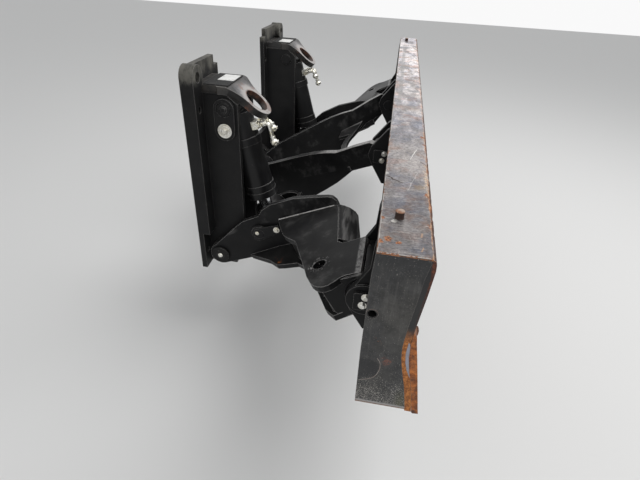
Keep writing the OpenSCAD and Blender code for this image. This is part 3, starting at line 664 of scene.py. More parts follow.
def rod_finish():
    """Chrome on the shaft, black paint on the eye round the pin at its foot."""
    net = surface("piston rod")
    _, y, z = net.split()
    off_y, off_z = y - -0.2424, z - -0.1522
    off = net.length(off_y, off_z)
    eye = off.fade(0.046, 0.047, 1.0, 0.0)
    film = net.noise((40.0, 40.0, 9.0), 5.0, 0.6)
    steel = net.mix(film.fade(0.4, 0.66), (0.7, 0.71, 0.73), (0.56, 0.56, 0.57))
    paint = net.mix(film.fade(0.4, 0.66), BLACK, (0.02, 0.019, 0.018))
    rough = film.fade(0.3, 0.7, 0.1, 0.18) + eye * 0.35
    return shine(net, net.mix(eye, steel, paint), rough, 0.95 - eye * 0.95, film, 0.15, 0.0004)


rod_paint = rod_finish()

# %% [markdown]
# The pad on each tower is a gritty sheet that gives grip to a boot. The small plate on it is bare
# white plastic with road dirt on it.

# %% Pad and plate
def gritty():
    net = surface("anti slip pad")
    grain = net.noise(700.0, 2.0, 0.7)
    worn = net.noise(22.0, 5.0, 0.65)
    colour = net.mix(worn.fade(0.56, 0.75), (0.01, 0.01, 0.01), (0.075, 0.072, 0.066))
    colour.lay(grain.fade(0.6, 0.72, 0.0, 0.6), (0.16, 0.155, 0.15))
    return shine(net, colour, 0.85, 0.0, grain, 0.9, 0.001)


def plate_white():
    net = surface("white plate")
    soil = net.noise(60.0, 6.0, 0.7)
    colour = net.mix(soil.fade(0.5, 0.78), (0.74, 0.74, 0.72), (0.3, 0.27, 0.23))
    return shine(net, colour, soil.fade(0.4, 0.7, 0.35, 0.6), 0.0, soil, 0.1, 0.0003, rounded=0.0006)


pad_finish = gritty()
label_finish = plate_white()

# %% [markdown]
# Lashing hooks have rubbed the eye on each tower bright. The paint is left only near the tower; round
# the hole the steel is bare, grey and a little brown, and the hole's wall is rusty.

# %% Worn lug
EYE = Vector((0.43, -0.2054, 0.2984))
EYE_HOLE, EYE_RING, EYE_REACH = 0.044, 0.061, 0.088


def lug_finish(name, hand):
    net = surface(name)
    eye = (EYE.x * hand, EYE.y, EYE.z)
    far = net.take("ShaderNodeVectorMath", {0: net.place(), 1: eye}, "Value", operation="DISTANCE")
    ragged = far + net.noise(26.0, 5.0, 0.65) * 0.055
    bare = ragged.fade(0.088, 0.128, 1.0, 0.0)
    fine = net.noise(120.0, 5.0, 0.65)
    broad = net.noise(18.0, 4.0, 0.6)
    paint = net.mix(broad.fade(0.42, 0.62), (0.02, 0.019, 0.019), (0.05, 0.046, 0.041))
    steel = net.mix(fine.fade(0.38, 0.66), (0.13, 0.128, 0.14), (0.285, 0.272, 0.268))
    steel.lay(far.fade(0.078, 0.056, 0.0, 0.65), (0.48, 0.45, 0.43))
    # Painted shade: faces that turn away from up are darkened, down to a tenth on the lug's sides and underside, and
    # their rubbed edges are weaker there.
    facing = net.facing()[2]
    steel = steel.stretched(facing.fade(0.12, 0.5, 0.09, 1.0))
    colour = net.mix(bare, paint, steel)
    rubbed = worn_lines(net, 0.004, 0.7, 70.0) * facing.fade(0.0, 0.4, 0.25, 0.75)
    colour.lay(rubbed, (0.42, 0.4, 0.38))
    tones = use(net, rust, scale=16.0, amount=0.34, orange=0.36)
    wall = far.fade(EYE_HOLE - 0.001, EYE_HOLE + 0.005, 0.75, 0.0)
    red = tones["Mask"] * (bare * 0.55) | wall
    colour.lay(red, tones["Colour"])
    metal = net.math("MULTIPLY", bare | rubbed, 0.65 - red, clamp=True)
    rough = fine.fade(0.3, 0.7, 0.36, 0.56)
    return shine(net, colour, rough, metal, fine, 0.45, 0.0009)


lug_left_finish = lug_finish("worn lug, left", -1)
lug_right_finish = lug_finish("worn lug, right", 1)

# %% [markdown]
# Most pieces are drawn in a leaning frame of their own: a cylinder hangs from its head pin and an arm
# rises from its pin at the tower. One small function turns such a local point into a real place, and
# mirrors it for the left side.

# %% Local frames
def leaning(anchor, degrees):
    c, s = math.cos(math.radians(degrees)), math.sin(math.radians(degrees))

    def place(point, hand=1):
        x, y, z = point
        return Vector((hand * (anchor[0] + x), anchor[1] + y * c + z * s, anchor[2] - y * s + z * c))
    return place


upright = leaning((0.0, 0.0, 0.0), 0.0)
HEAD_X, HEAD_Y, HEAD_Z, CYLINDER_LEAN = 0.43, -0.12, 0.284, 15.68
on_cylinder = leaning((HEAD_X, HEAD_Y, HEAD_Z), CYLINDER_LEAN)
on_arm = leaning((0.0, ROOT_Y, ROOT_Z), ARM_LEAN)
print("pin of the left rod:", [round(v, 4) for v in on_cylinder((0, 0, -0.453), -1)])

# %% [markdown]
# Four ways of making a solid cover every piece here: a plate cut from an outline, a piece turned on a
# lathe, a bent tube, and a section drawn along x. Each adds its faces to a bmesh, so one object can hold
# several of them.

# %% Ways of making a solid
def add_plate(form, outline, start, end, place=upright, hand=1, holes=()):
    """A plate whose outline lies across x, with its holes, from start to end along x."""
    shift = place((end, 0, 0), hand) - place((start, 0, 0), hand)
    rows, edges = [], []
    for loop in [outline, *holes]:
        row = [form.verts.new(place((start, y, z), hand)) for y, z in loop]
        edges += [form.edges.new(pair) for pair in zip(row, row[1:] + row[:1])]
        rows.append(row)
    filled = bmesh.ops.triangle_fill(form, use_beauty=True, edges=edges)["geom"]
    caps = [part for part in filled if isinstance(part, bmesh.types.BMFace)]
    twin = {v: form.verts.new(v.co + shift) for row in rows for v in row}
    for face in caps:
        form.faces.new([twin[v] for v in reversed(face.verts)])
    for row in rows:
        for a, b in zip(row, row[1:] + row[:1]):
            form.faces.new((a, b, twin[b], twin[a]))


def ring_of(form, centre, axis, across, radius, steps):
    """The points of a ring round an axis. With no radius they are all one point."""
    if radius == 0:
        return [form.verts.new(centre)] * steps
    third = axis.cross(across)
    turns = [2 * math.pi * k / steps for k in range(steps)]
    return [form.verts.new(centre + (across * math.cos(t) + third * math.sin(t)) * radius) for t in turns]


def skin(form, rows):
    """Faces between neighbouring rings of points."""
    for a, b in zip(rows, rows[1:]):
        for corners in zip(a, a[1:] + a[:1], b[1:] + b[:1], b):
            form.faces.new(list(dict.fromkeys(corners)))


def add_turned(form, profile, centre, axis, steps=32):
    """A turned piece. The profile lists the distance along the axis and the radius there."""
    axis = Vector(axis).normalized()
    across = axis.orthogonal().normalized()
    skin(form, [ring_of(form, Vector(centre) + axis * along, axis, across, radius, steps)
        for along, radius in profile])


def add_tube(form, path, radius, steps=14):
    """A round tube along a path of points, closed at both ends."""
    rows = []
    for k, point in enumerate(path):
        ahead = (path[min(k + 1, len(path) - 1)] - path[max(k - 1, 0)]).normalized()
        rows.append(ring_of(form, point, ahead, Vector((1, 0, 0)).cross(ahead).normalized(), radius, steps))
    skin(form, rows)
    form.faces.new(rows[0])
    form.faces.new(rows[-1])


def add_drawn(form, rows):
    """A section drawn along x: its faces from row to row, and both ends filled."""
    skin(form, rows)
    for row in (rows[0], rows[-1]):
        pairs = zip(row, row[1:] + row[:1])
        bmesh.ops.triangle_fill(form, use_beauty=True, edges=[form.edges.get(pair) for pair in pairs])


def bow(points, per):
    """A smooth line through the points, with per steps between two of them."""
    ends = [points[0]] + list(points) + [points[-1]]
    line = []
    for a, b, c, d in zip(ends, ends[1:], ends[2:], ends[3:]):
        for k in range(per):
            t = k / per
            line.append(tuple(0.5 * (2 * q + (r - p) * t + (2 * p - 5 * q + 4 * r - s) * t * t
                + (3 * q - p - 3 * r + s) * t ** 3) for p, q, r, s in zip(a, b, c, d)))
    return line + [tuple(points[-1])]


def arc(y, z, radius, first, last, steps):
    """Points in the y-z plane from one angle to another, in degrees."""
    turns = [math.radians(first + (last - first) * k / steps) for k in range(steps + 1)]
    return [(y + radius * math.cos(t), z + radius * math.sin(t)) for t in turns]


def circle(y, z, radius, steps=48):
    return arc(y, z, radius, 0, 360, steps)[:-1]


SIDES = ((-1, "left"), (1, "right"))


# %% [markdown]
# A finished piece rides on its body and stands for the solid it replaces.
# A narrow bevel catches the light along its edges, as a rolled or ground edge does.

# %% Keeping a piece
def keep(name, form, finish, body, stands_for=(), bevel=0.0, sharp=35):
    if isinstance(form, bmesh.types.BMesh):
        bmesh.ops.recalc_face_normals(form, faces=form.faces)
        mesh = bpy.data.meshes.new(name)
        form.to_mesh(mesh)
        form.free()
    else:
        mesh = form
        mesh.name = name
    mesh.materials.clear()
    mesh.materials.append(finish)
    mesh.shade_smooth()
    mesh.set_sharp_from_angle(angle=math.radians(sharp))
    piece = bpy.data.objects.new(name, mesh)
    bpy.context.scene.collection.objects.link(piece)
    if bevel:
        rounded = piece.modifiers.new("rounded edges", "BEVEL")
        rounded.width, rounded.segments, rounded.limit_method = bevel, 2, "ANGLE"
        rounded.angle_limit, rounded.harden_normals = math.radians(30), True
    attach(piece, body)
    if stands_for:
        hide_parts(*stands_for)


# %% [markdown]
# The blade is one sheet of steel, bent into a flat top, a rounded corner and a curved front. Its section
# is drawn once and run along the blade in narrow steps, so that the corner can be chipped and the top
# slightly dented where a heap or a kerb has hit it.

# %% The bent sheet
DEPTH, HEIGHT, SHEET = 0.106, 0.419, 0.015
HALF_WIDTH, STEPS_ALONG, INSET = 1.25, 420, 0.0163
FRONT_LINE = [(1.009, 0.062, 0), (0.986, 0.15, 0), (0.967, 0.215, 0), (0.925, 0.332, 0), (0.894, 0.425, 0.4),
    (0.877, 0.513, 0.72), (0.896, 0.597, 1), (0.962, 0.69, 1), (1.066, 0.802, 0.86), (1.142, 0.907, 0.83),
    (1.198, 1, 0.83)]
front_curve = bow([(BACK - d * DEPTH, TOP - h * HEIGHT) for d, h, _ in FRONT_LINE], 3)
corner = [(0.013, 0.0), (0.008, 0.001), (0.003, 0.004), (0.0005, 0.008), (-0.0005, 0.013)]
top_line = [(BACK - 0.0012 - k * (DEPTH - 0.0155) / 7, TOP) for k in range(8)]
outer = top_line + [(FRONT + y, TOP - z) for y, z in corner] + front_curve
inner = [(y + SHEET, z) for y, z in reversed(front_curve)] + [(FRONT + SHEET + 0.007, TOP - 0.016)]
section = [(BACK, TOP - 0.016), (BACK, TOP - 0.0012)] + outer + inner


def battered(x, y, z):
    """Where a point of the sheet ends up after years of knocks. Nothing moves outwards."""
    wave = noise.fractal(Vector((x * 3.1, y * 9.0, 0.3)), 1.0, 2.0, 3)
    if z > TOP - 0.0135:
        on_top = min(1.0, max(0.0, (y - FRONT) / 0.01)) * min(1.0, (BACK - y) / 0.012 + 0.15)
        z -= 0.0013 * max(0.0, wave) * on_top
        if y < FRONT + 0.014 or y > BACK - 0.003:
            chip = noise.fractal(Vector((x * 46.0, y * 30.0, z * 30.0)), 1.0, 2.0, 3)
            bite = 0.0021 * max(0.0, chip - 0.05) + 0.0004
            z -= bite * 0.8 if y > FRONT + 0.002 else bite * 0.4
            y += bite if y < FRONT + 0.014 else -bite
    elif y < FRONT + 0.03 and z < TOP - 0.02:
        y += 0.001 * max(0.0, wave)
    return Vector((x, y, z))


form = bmesh.new()
across = [-HALF + 2 * HALF * k / STEPS_ALONG for k in range(STEPS_ALONG + 1)]
add_drawn(form, [[form.verts.new(battered(x, y, z)) for y, z in section] for x in across])
return_top, return_low, stiffener = TOP - 0.0155, TOP - 0.055, TOP - HEIGHT + 0.022
for outline in ([(BACK, return_top), (BACK, return_low), (BACK - 0.012, return_low), (BACK - 0.012, return_top)],
    [(BACK - 0.11, stiffener), (BACK - 0.02, stiffener), (BACK - 0.02, stiffener + 0.014),
    (BACK - 0.108, stiffener + 0.014)]):
    add_plate(form, outline, INSET - HALF_WIDTH, HALF_WIDTH - INSET)
print("points round the section:", len(section), "faces:", len(form.faces))
keep("blade_sheet", form, top_finish, "blade", ("blade_shell",), sharp=40)

# %% [markdown]
# Each end is closed by a plate with a small tube through it. The plate reaches almost to the top of the
# sheet, and its weld there was ground flush, so only a thin bright line is left along the top edge.

# %% End plates
END_PLATE = [(BACK + 0.0002, TOP - 0.0034), (FRONT + 0.014, TOP - 0.0034), (FRONT + 0.0095, TOP - 0.0065),
    (FRONT + 0.0085, TOP - 0.012)]
END_PLATE += [(y + SHEET - 0.001, z) for y, z in front_curve[2:-1]]
END_PLATE += [(BACK - 1.19 * DEPTH + SHEET, TOP - HEIGHT + 0.005), (BACK, TOP - HEIGHT + 0.004),
    (BACK + 0.0035, TOP - 0.256), (BACK + 0.0035, TOP - 0.064)]
HOLE_Y, HOLE_Z, HOLE_R, END_X = BACK - 0.009, TOP - 0.145, 0.0095, 1.2486
TUBE = [(-0.05, 0.0), (-0.05, 0.0088), (0.001, 0.0088), (0.0014, 0.0093), (0.0014, 0.0112), (0.0009, 0.012),
    (-0.05, 0.012), (-0.05, 0.0088)]
TUBE_RIM = [(0.001, 0.0098), (0.00138, 0.0104), (0.00138, 0.0114), (0.0006, 0.0122), (0.0004, 0.011), (0.001, 0.0098)]


def join_doubles(form):
    bmesh.ops.remove_doubles(form, verts=form.verts, dist=1e-06)


for hand, label in SIDES:
    form = bmesh.new()
    add_plate(form, END_PLATE, 1.234, 1.2492, hand=hand, holes=[circle(HOLE_Y, HOLE_Z, HOLE_R, 32)])
    keep("end_%s_face" % label, form, blade_paint, "blade", ("end_plate_" + label,), bevel=0.0006)
    for part, finish, profile in (("tube", bracket_paint, TUBE), ("tube_rim", weld_grey, TUBE_RIM)):
        form = bmesh.new()
        add_turned(form, profile, (hand * END_X, HOLE_Y, HOLE_Z), (hand, 0, 0), 36)
        join_doubles(form)
        keep("end_%s_%s" % (label, part), form, finish, "blade")
print("end plate points:", len(END_PLATE))

# %% [markdown]
# The wear plate is bolted in front of the lower half. Its lower edge is what meets the ground, so it is
# worn uneven along its length; all of it is rusty.

# %% Wear plate
EDGE_T = 0.018
low_half = [(BACK - d * DEPTH, TOP - h * HEIGHT, w) for d, h, w in FRONT_LINE[4:]]
first, second = low_half[0], low_half[1]
share = (0.178 - FRONT_LINE[4][1] * HEIGHT) / ((FRONT_LINE[5][1] - FRONT_LINE[4][1]) * HEIGHT)
head = (first[0] + (second[0] - first[0]) * share, TOP - 0.178)
face = [(head[0] - 0.0003, head[1]), (head[0] - 0.0076, head[1] - 0.013)]
face += [(y - w * EDGE_T, z) for y, z, w in low_half[1:]]
heel = [(BACK - 1.35 * DEPTH, TOP - HEIGHT - 0.0038), (BACK - 1.235 * DEPTH, TOP - HEIGHT - 0.0048)]
behind = [(y - 0.0004, z) for y, z, _ in reversed(low_half[1:])]
wear_section = face + heel + behind
EDGE_HALF, EDGE_STEPS = 1.2498, 300
form = bmesh.new()
rows = []
for k in range(EDGE_STEPS + 1):
    x = -EDGE_HALF + 2 * EDGE_HALF * k / EDGE_STEPS
    row = []
    for n, (y, z) in enumerate(wear_section):
        bump = noise.fractal(Vector((x * 9.0, n * 0.7, 0.0)), 1.0, 2.0, 4)
        if len(face) - 1 <= n <= len(face) + 1:
            z += 0.003 * abs(bump) + 0.0004
        if n < len(face):
            y += 0.0007 * abs(bump)
        row.append(form.verts.new((x, y, z)))
    rows.append(row)
add_drawn(form, rows)
print("wear plate points:", len(wear_section))
keep("wear_plate", form, rusty_edge, "blade", ("cutting_edge",), sharp=30)

# %% [markdown]
# Between the rust of the wear plate and the end plate, the cut end of the sheet shows as a bluish grey
# sliver. It is a thin inlay, a third of a millimetre proud of the sheet's end.

# %% Cut end of the sheet
sliver = [(0.0887, 0.206), (0.0875, 0.239), (0.0912, 0.266), (0.0964, 0.286), (0.106, 0.308), (0.1088, 0.304),
    (0.1085, 0.293), (0.105, 0.275), (0.101, 0.255), (0.096, 0.23), (0.092, 0.21)]
form = bmesh.new()
for hand in (-1, 1):
    add_plate(form, [(BACK - d, TOP - h) for d, h in sliver], 1.248, 1.2493, hand=hand)
keep("sheet_cut_ends", form, cut_steel, "blade", bevel=0.0003)

# %% [markdown]
# Two short studs stand on the top plate. Each is a turned stub with a burred rim; the wear plate's bolt
# heads are wide and flat, ten in a row. Both are rusty.

# %% Studs
form = bmesh.new()
for hand in (-1, 1):
    add_turned(form,
        [(-0.002, 0.0), (-0.002, 0.0098), (0.0006, 0.0096), (0.001, 0.0091), (0.0125, 0.0091), (0.014, 0.0097),
        (0.0154, 0.009), (0.0158, 0.004), (0.0151, 0.0)], (hand * 1.121, BACK - 0.037, TOP), (0, 0, 1), 36)
for v in form.verts:
    if v.co.z > TOP + 0.009:
        v.co.x += 0.0006 * noise.noise(v.co * 160)
        v.co.y += 0.0006 * noise.noise(v.co * 190)
keep("studs", form, rusty_stud, "blade", ("top_studs",), sharp=30)

# %% [markdown]
# Bolts repeat all over the machine, so one Geometry Nodes tree makes them. It takes bare points, each
# with a direction and a size, and sets a washer and a six-sided head with a chamfer on every one.

# %% A tree for bolt heads
def geometry_tree(name, numbers):
    return new_tree(name, "GeometryNodeTree", [("INPUT", "Geometry", "Geometry", None)] + numbers_in(numbers)
        + [("INPUT", "Finish", "Material", None), ("OUTPUT", "Geometry", "Geometry", None)])


def finished(net, shape, given, out):
    """The last two nodes of both trees."""
    real = net.take("GeometryNodeRealizeInstances", {0: shape})
    net.put(out["Geometry"], net.take("GeometryNodeSetMaterial", {"Geometry": real, "Material": given["Finish"]}))


def attribute(net, name, kind):
    return net.take("GeometryNodeInputNamedAttribute", {"Name": name}, data_type=kind)


net, given, out = geometry_tree("bolt heads", [("Washer", 1.45), ("Head height", 0.62), ("Chamfer", 0.12)])
washer = net.take("GeometryNodeMeshCylinder", {"Vertices": 28, "Radius": given["Washer"], "Depth": 0.18}, "Mesh")
head = net.take("GeometryNodeMeshCylinder", {"Vertices": 6, "Radius": 1.0, "Depth": given["Head height"]}, "Mesh")
crown = net.take("GeometryNodeMeshCone",
    {"Vertices": 6, "Radius Top": 0.84, "Radius Bottom": 1.0, "Depth": given["Chamfer"]}, "Mesh")
middle = 0.16 + given["Head height"] * 0.5
peak = 0.158 + given["Head height"]
joined = net.node("GeometryNodeJoinGeometry")
for shape, height in ((crown, peak), (head, middle), (washer, 0.08)):
    lift = net.take("ShaderNodeCombineXYZ", {2: height})
    net.put(joined.inputs[0], net.take("GeometryNodeTransform", {"Geometry": shape, "Translation": lift}))
facing = net.take("FunctionNodeAlignRotationToVector", {"Vector": attribute(net, "out", "FLOAT_VECTOR")}, axis="Z")
size = attribute(net, "size", "FLOAT")
heads = net.take("GeometryNodeInstanceOnPoints", {"Points": given["Geometry"], "Instance": Wire(net, joined.outputs[0]),
    "Rotation": facing, "Scale": net.take("ShaderNodeCombineXYZ", {0: size, 1: size, 2: size})})
finished(net, heads, given, out)
bolt_tree = net.tree


def grown(tree, mesh, finish, **numbers):
    """Runs a tree on a mesh and hands back the plain mesh that comes out."""
    holder = bpy.data.objects.new("holder", mesh)
    bpy.context.scene.collection.objects.link(holder)
    modifier = holder.modifiers.new("tree", "NODES")
    modifier.node_group = tree
    for item in tree.interface.items_tree:
        if item.item_type == "SOCKET" and item.in_out == "INPUT":
            label = item.name.lower().replace(" ", "_")
            if label == "finish":
                modifier[item.identifier] = finish
            elif label in numbers:
                modifier[item.identifier] = numbers[label]
    graph = bpy.context.evaluated_depsgraph_get()
    result = bpy.data.meshes.new_from_object(holder.evaluated_get(graph), depsgraph=graph)
    holder.modifiers.clear()
    bpy.data.objects.remove(holder)
    return result


def bolts(name, body, finish, slot, points, stands_for=(), **numbers):
    """Bolt heads at (place, direction, size), all on one body."""
    mesh = bpy.data.meshes.new(name + "_points")
    mesh.from_pydata([tuple(p) for p, _, _ in points], [], [])
    out_of = mesh.attributes.new("out", "FLOAT_VECTOR", "POINT")
    out_of.data.foreach_set("vector", [c for _, d, _ in points for c in d])
    sizes = mesh.attributes.new("size", "FLOAT", "POINT")
    sizes.data.foreach_set("value", [s for _, _, s in points])
    keep(name, grown(bolt_tree, mesh, finish, **numbers), finish, body, stands_for, sharp=25)


print("inputs of the bolt tree:",
    [item.name for item in bolt_tree.interface.items_tree if item.item_type == "SOCKET"])

# %% Bolts of the wear plate
lean_front = (0, -math.cos(math.radians(10)), -math.sin(math.radians(10)))
edge_y, edge_z = BACK - 0.93 * DEPTH - EDGE_T + 0.003, TOP - 0.643 * HEIGHT
points = [((-1.15 + k * 2.3 / 9, edge_y, edge_z), lean_front, 0.0112) for k in range(10)]
bolts("wear_plate_bolts", "blade", rusty_bolt, "rusty_bolt", points, ("edge_bolts",), head_height=0.16, washer=1.2)
print("bolts along the wear plate:", len(points))

# %% [markdown]
# Every pin is held by a keeper: a small black plate on the bracket with one or two plated bolts. The pin
# itself shows only as the round end in the middle.

# %% Pins with their keepers
def pin_bar(form, start, end, y, z, radius, place, hand):
    """A pin along x with chamfered ends."""
    at = place((start, y, z), hand)
    length = abs(end - start)
    add_turned(form,
        [(0, 0), (0, radius - 0.002), (0.002, radius), (length - 0.002, radius), (length, radius - 0.002),
        (length, 0)], at, (hand, 0, 0), 40)


def rounded_box(y0, z0, y1, z1, radius, steps=6):
    """An outline with round corners in the y-z plane."""
    line = []
    for cy, cz, turn in ((y1 - radius, z1 - radius, 0), (y0 + radius, z1 - radius, 90),
        (y0 + radius, z0 + radius, 180), (y1 - radius, z0 + radius, 270)):
        line += arc(cy, cz, radius, turn, turn + 90, steps)
    return line


PIN_Y, PIN_Z = -0.66, 0.02
TIP_Y, TIP_Z = -0.65, 0.125
for hand, label in SIDES:
    for name, solid, y, z, start, end, radius, low, high in (
        ("arm_pin_", "blade_pin_", PIN_Y, PIN_Z, 0.842, 1.06, 0.02395, 0.026, 0.027),
        ("link_pin_", "link_tip_pin_", TIP_Y, TIP_Z, 0.276, 0.382, 0.02195, 0.024, 0.024)):
        form = bmesh.new()
        pin_bar(form, start, end + (0.0015 if solid == "blade_pin_" else 0.0005), y, z, radius, upright, hand)
        add_plate(form, rounded_box(y - 0.026, z - low, y + 0.026, z + high, 0.006), end, end + 0.008, hand=hand)
        keep(name + label, form, bracket_paint, "blade", (solid + label,), bevel=0.001)
points = []
for hand in (-1, 1):
    out_of = (hand, 0, 0)
    points += [((hand * 1.0679, PIN_Y + y, PIN_Z + z), out_of, 0.0078) for y, z in ((-0.004, 0.017), (0.002, -0.009))]
    points += [((hand * 0.3899, TIP_Y + y, TIP_Z + z), out_of, 0.0068) for y, z in ((-0.012, 0.013), (-0.006, -0.013))]
bolts("keeper_bolts_blade", "blade", zinc, "zinc_pin", points)

ROD_U, ROD_V, SEAT = 0.203, 0.039, 0.572
for hand, label in SIDES:
    form = bmesh.new()
    pin_bar(form, 0.3, SEAT + 0.0095, -ROD_U, ROD_V, 0.01995, on_arm, hand)
    at = on_arm((0.5634, -ROD_U, ROD_V), hand)
    add_turned(form,
        [(0, 0.0205), (0, 0.03), (0.0015, 0.0318), (0.008, 0.0318), (0.0095, 0.03), (0.0095, 0.0205), (0, 0.0205)],
        at, (hand, 0, 0), 40)
    join_doubles(form)
    keeper = [(-ROD_U - 0.088, ROD_V - 0.02), (-ROD_U - 0.06, ROD_V - 0.024), (-ROD_U + 0.012, ROD_V - 0.028),
        (-ROD_U + 0.026, ROD_V - 0.016), (-ROD_U + 0.026, ROD_V + 0.016), (-ROD_U + 0.012, ROD_V + 0.026),
        (-ROD_U - 0.088, ROD_V + 0.01)]
    add_plate(form, keeper, SEAT, SEAT + 0.008, on_arm, hand)
    keep("rod_eye_pin_%s" % label, form, bracket_paint, "lower_arm_" + label, ("rod_pin_" + label,),
        bevel=0.001)
    out_of = (hand, 0, 0)
    points = [(on_arm((SEAT + 0.0079, -ROD_U - 0.073, ROD_V - 0.006), hand), out_of, 0.0082),
        (on_arm((SEAT + 0.0094, -ROD_U + 0.004, ROD_V + 0.006), hand), out_of, 0.0052)]
    bolts("keeper_bolts_arm_%s" % label, "lower_arm_" + label, zinc, "zinc_pin", points)
print("pins with keepers:", 6)

# %% [markdown]
# The head pin of each cylinder ends in a turned boss on a rounded keeper plate. Below it one plated bolt
# holds the plate, on a wide washer with turned rings that catches the light.

# %% Head pins
OUT, BOLT_Z = 0.515, HEAD_Z - 0.072
stadium = arc(HEAD_Y, HEAD_Z, 0.035, 0, 180, 24) + arc(HEAD_Y, BOLT_Z, 0.035, 180, 360, 24)
for hand, label in SIDES:
    form = bmesh.new()
    add_plate(form, stadium, OUT, OUT + 0.012, hand=hand, holes=[circle(HEAD_Y, HEAD_Z, 0.0252, 48)])
    pin_bar(form, 0.339, OUT + 0.0145, HEAD_Y, HEAD_Z, 0.02395, upright, hand)
    add_turned(form, [(0, 0), (0, 0.0125), (0.003, 0.0125), (0.0045, 0.009), (0.006, 0.0088), (0.006, 0)],
        (hand * (OUT + 0.014), HEAD_Y, HEAD_Z), (hand, 0, 0), 36)
    keep("head_%s_keeper" % label, form, frame_paint, "mount_frame", ("head_pin_" + label,),
        bevel=0.0012)
    form = bmesh.new()
    add_turned(form,
        [(0, 0), (0, 0.0245), (0.0012, 0.025), (0.003, 0.0247), (0.0034, 0.0215), (0.0024, 0.0205), (0.0024, 0.018),
        (0.0036, 0.017), (0.004, 0.0125), (0.0034, 0.0118), (0.0034, 0)], (hand * (OUT + 0.0119), HEAD_Y, BOLT_Z),
        (hand, 0, 0), 48)
    keep("head_%s_washer" % label, form, zinc, "mount_frame", sharp=20)
points = [((hand * (OUT + 0.0152), HEAD_Y, BOLT_Z), (hand, 0, 0), 0.0098) for hand in (-1, 1)]
bolts("head_bolts", "mount_frame", zinc, "zinc_pin", points, washer=1.12)
form = bmesh.new()
for hand in (-1, 1):
    pin_bar(form, 0.3, 0.567, ROOT_Y, ROOT_Z, 0.02395, upright, hand)
    add_turned(form,
        [(0, 0), (0, 0.0325), (0.0015, 0.034), (0.007, 0.034), (0.009, 0.0318), (0.009, 0.015), (0.0082, 0.0142),
        (0.0082, 0)], (hand * 0.566, ROOT_Y, ROOT_Z), (hand, 0, 0), 40)
keep("arm_root_pins", form, frame_paint, "mount_frame", ("low_pin_left", "low_pin_right"), sharp=25)
points = [((hand * 0.574, ROOT_Y, ROOT_Z), (hand, 0, 0), 0.0072) for hand in (-1, 1)]
bolts("arm_root_bolts", "mount_frame", zinc, "zinc_pin", points, washer=1.3)
print("head pins:", 2)

# %% [markdown]
# The eye that a lashing hook goes through is one thick plate: level on top of the tower, then bent down
# over a small radius and drawn in to a ring. It is drawn flat, cut into strips across the bend, and every
# point is then carried along the bent line.

# %% Lugs
LUG_TOP, LUG_T, FOLD_Y, SLOPE, BEND_R = 0.355, 0.025, -0.138, math.radians(40), 0.036
ARC, STRIPS = BEND_R * SLOPE, 8
SETBACK = BEND_R * math.tan(SLOPE / 2)
flat = [(0.078, -0.118), (0.078, -0.05), (0.082, -0.043), (0.09, -0.038), (0.0905, -0.02), (0.0905, 0.004),
    (0.086, 0.014), (0.077, 0.027), (0.069, 0.042), (0.0635, 0.06), (0.0612, 0.078)]
flat = [(s, t) for s, t in bow(flat, 3)]
flat = flat + arc(0.0, EYE_REACH, EYE_RING, 8, 168, 20) + [(-s, t) for s, t in reversed(flat)]


def along_bend(s, t, depth):
    """A point of the flat plate: across, along, and below the upper face."""
    reach = t + SETBACK
    if reach <= 0:
        return Vector((s, FOLD_Y - t, LUG_TOP - depth))
    turn = min(reach / BEND_R, SLOPE)
    centre = Vector((s, FOLD_Y + SETBACK, LUG_TOP - BEND_R))
    out_of = Vector((0, -math.sin(turn), math.cos(turn)))
    at = centre + out_of * (BEND_R - depth)
    if reach > ARC:
        at += Vector((0, -math.cos(SLOPE), -math.sin(SLOPE))) * (reach - ARC)
    return at


for hand, label in SIDES:
    form = bmesh.new()
    add_plate(form, flat, 0.0, LUG_T, holes=[circle(0.0, EYE_REACH, EYE_HOLE, 56)])
    for k in range(STRIPS + 1):
        cut = -SETBACK + k * ARC / STRIPS
        bmesh.ops.bisect_plane(form, geom=form.verts[:] + form.edges[:] + form.faces[:], plane_co=(0, 0, cut),
            plane_no=(0, 0, 1), dist=1e-06)
    for v in form.verts:
        depth, s, t = v.co
        bent = along_bend(s, t, depth)
        v.co = Vector((hand * (HEAD_X + bent.x), bent.y, bent.z))
    finish = lug_left_finish if hand < 0 else lug_right_finish
    keep("eye_%s" % label, form, finish, "mount_frame", ("lug_" + label,), bevel=0.0022)
print("strips across the bend:", STRIPS)

# %% [markdown]
# The hose fittings on a cylinder are a plated block, two union nuts and two pipes that turn towards the
# blade and end in a ball-shaped cap. The pipes are bent tubes; nuts and caps are turned.

# %% Hose fittings
BARREL, PORT_Z = 0.054, -0.0885
PORTS = ((-0.014, -0.118), (0.014, -0.16))
UNION = ((20, [(-0.01, 0), (-0.01, 0.0125), (-0.004, 0.0135), (0.001, 0.0135), (0.002, 0.0105), (0.002, 0)]),
    (6, [(0, 0), (0, 0.0115), (0.0008, 0.0125), (0.0085, 0.0125), (0.01, 0.011), (0.01, 0)]),
    (8, [(0.009, 0), (0.009, 0.0085), (0.013, 0.0085), (0.013, 0.0105), (0.023, 0.0105), (0.0245, 0.009),
    (0.0245, 0)]))
COLLAR = [(0, 0), (0, 0.0098), (0.0075, 0.0098), (0.0085, 0.0085), (0.0085, 0)]
BALL = [(-0.0135, 0)] + [(z, y) for y, z in arc(0, 0, 0.0135, -90, 90, 12)[1:-1]] + [(0.0135, 0)]
CAP = [(0.01, 0), (0.01, 0.0062), (0.016, 0.0062), (0.017, 0.005), (0.017, 0)]
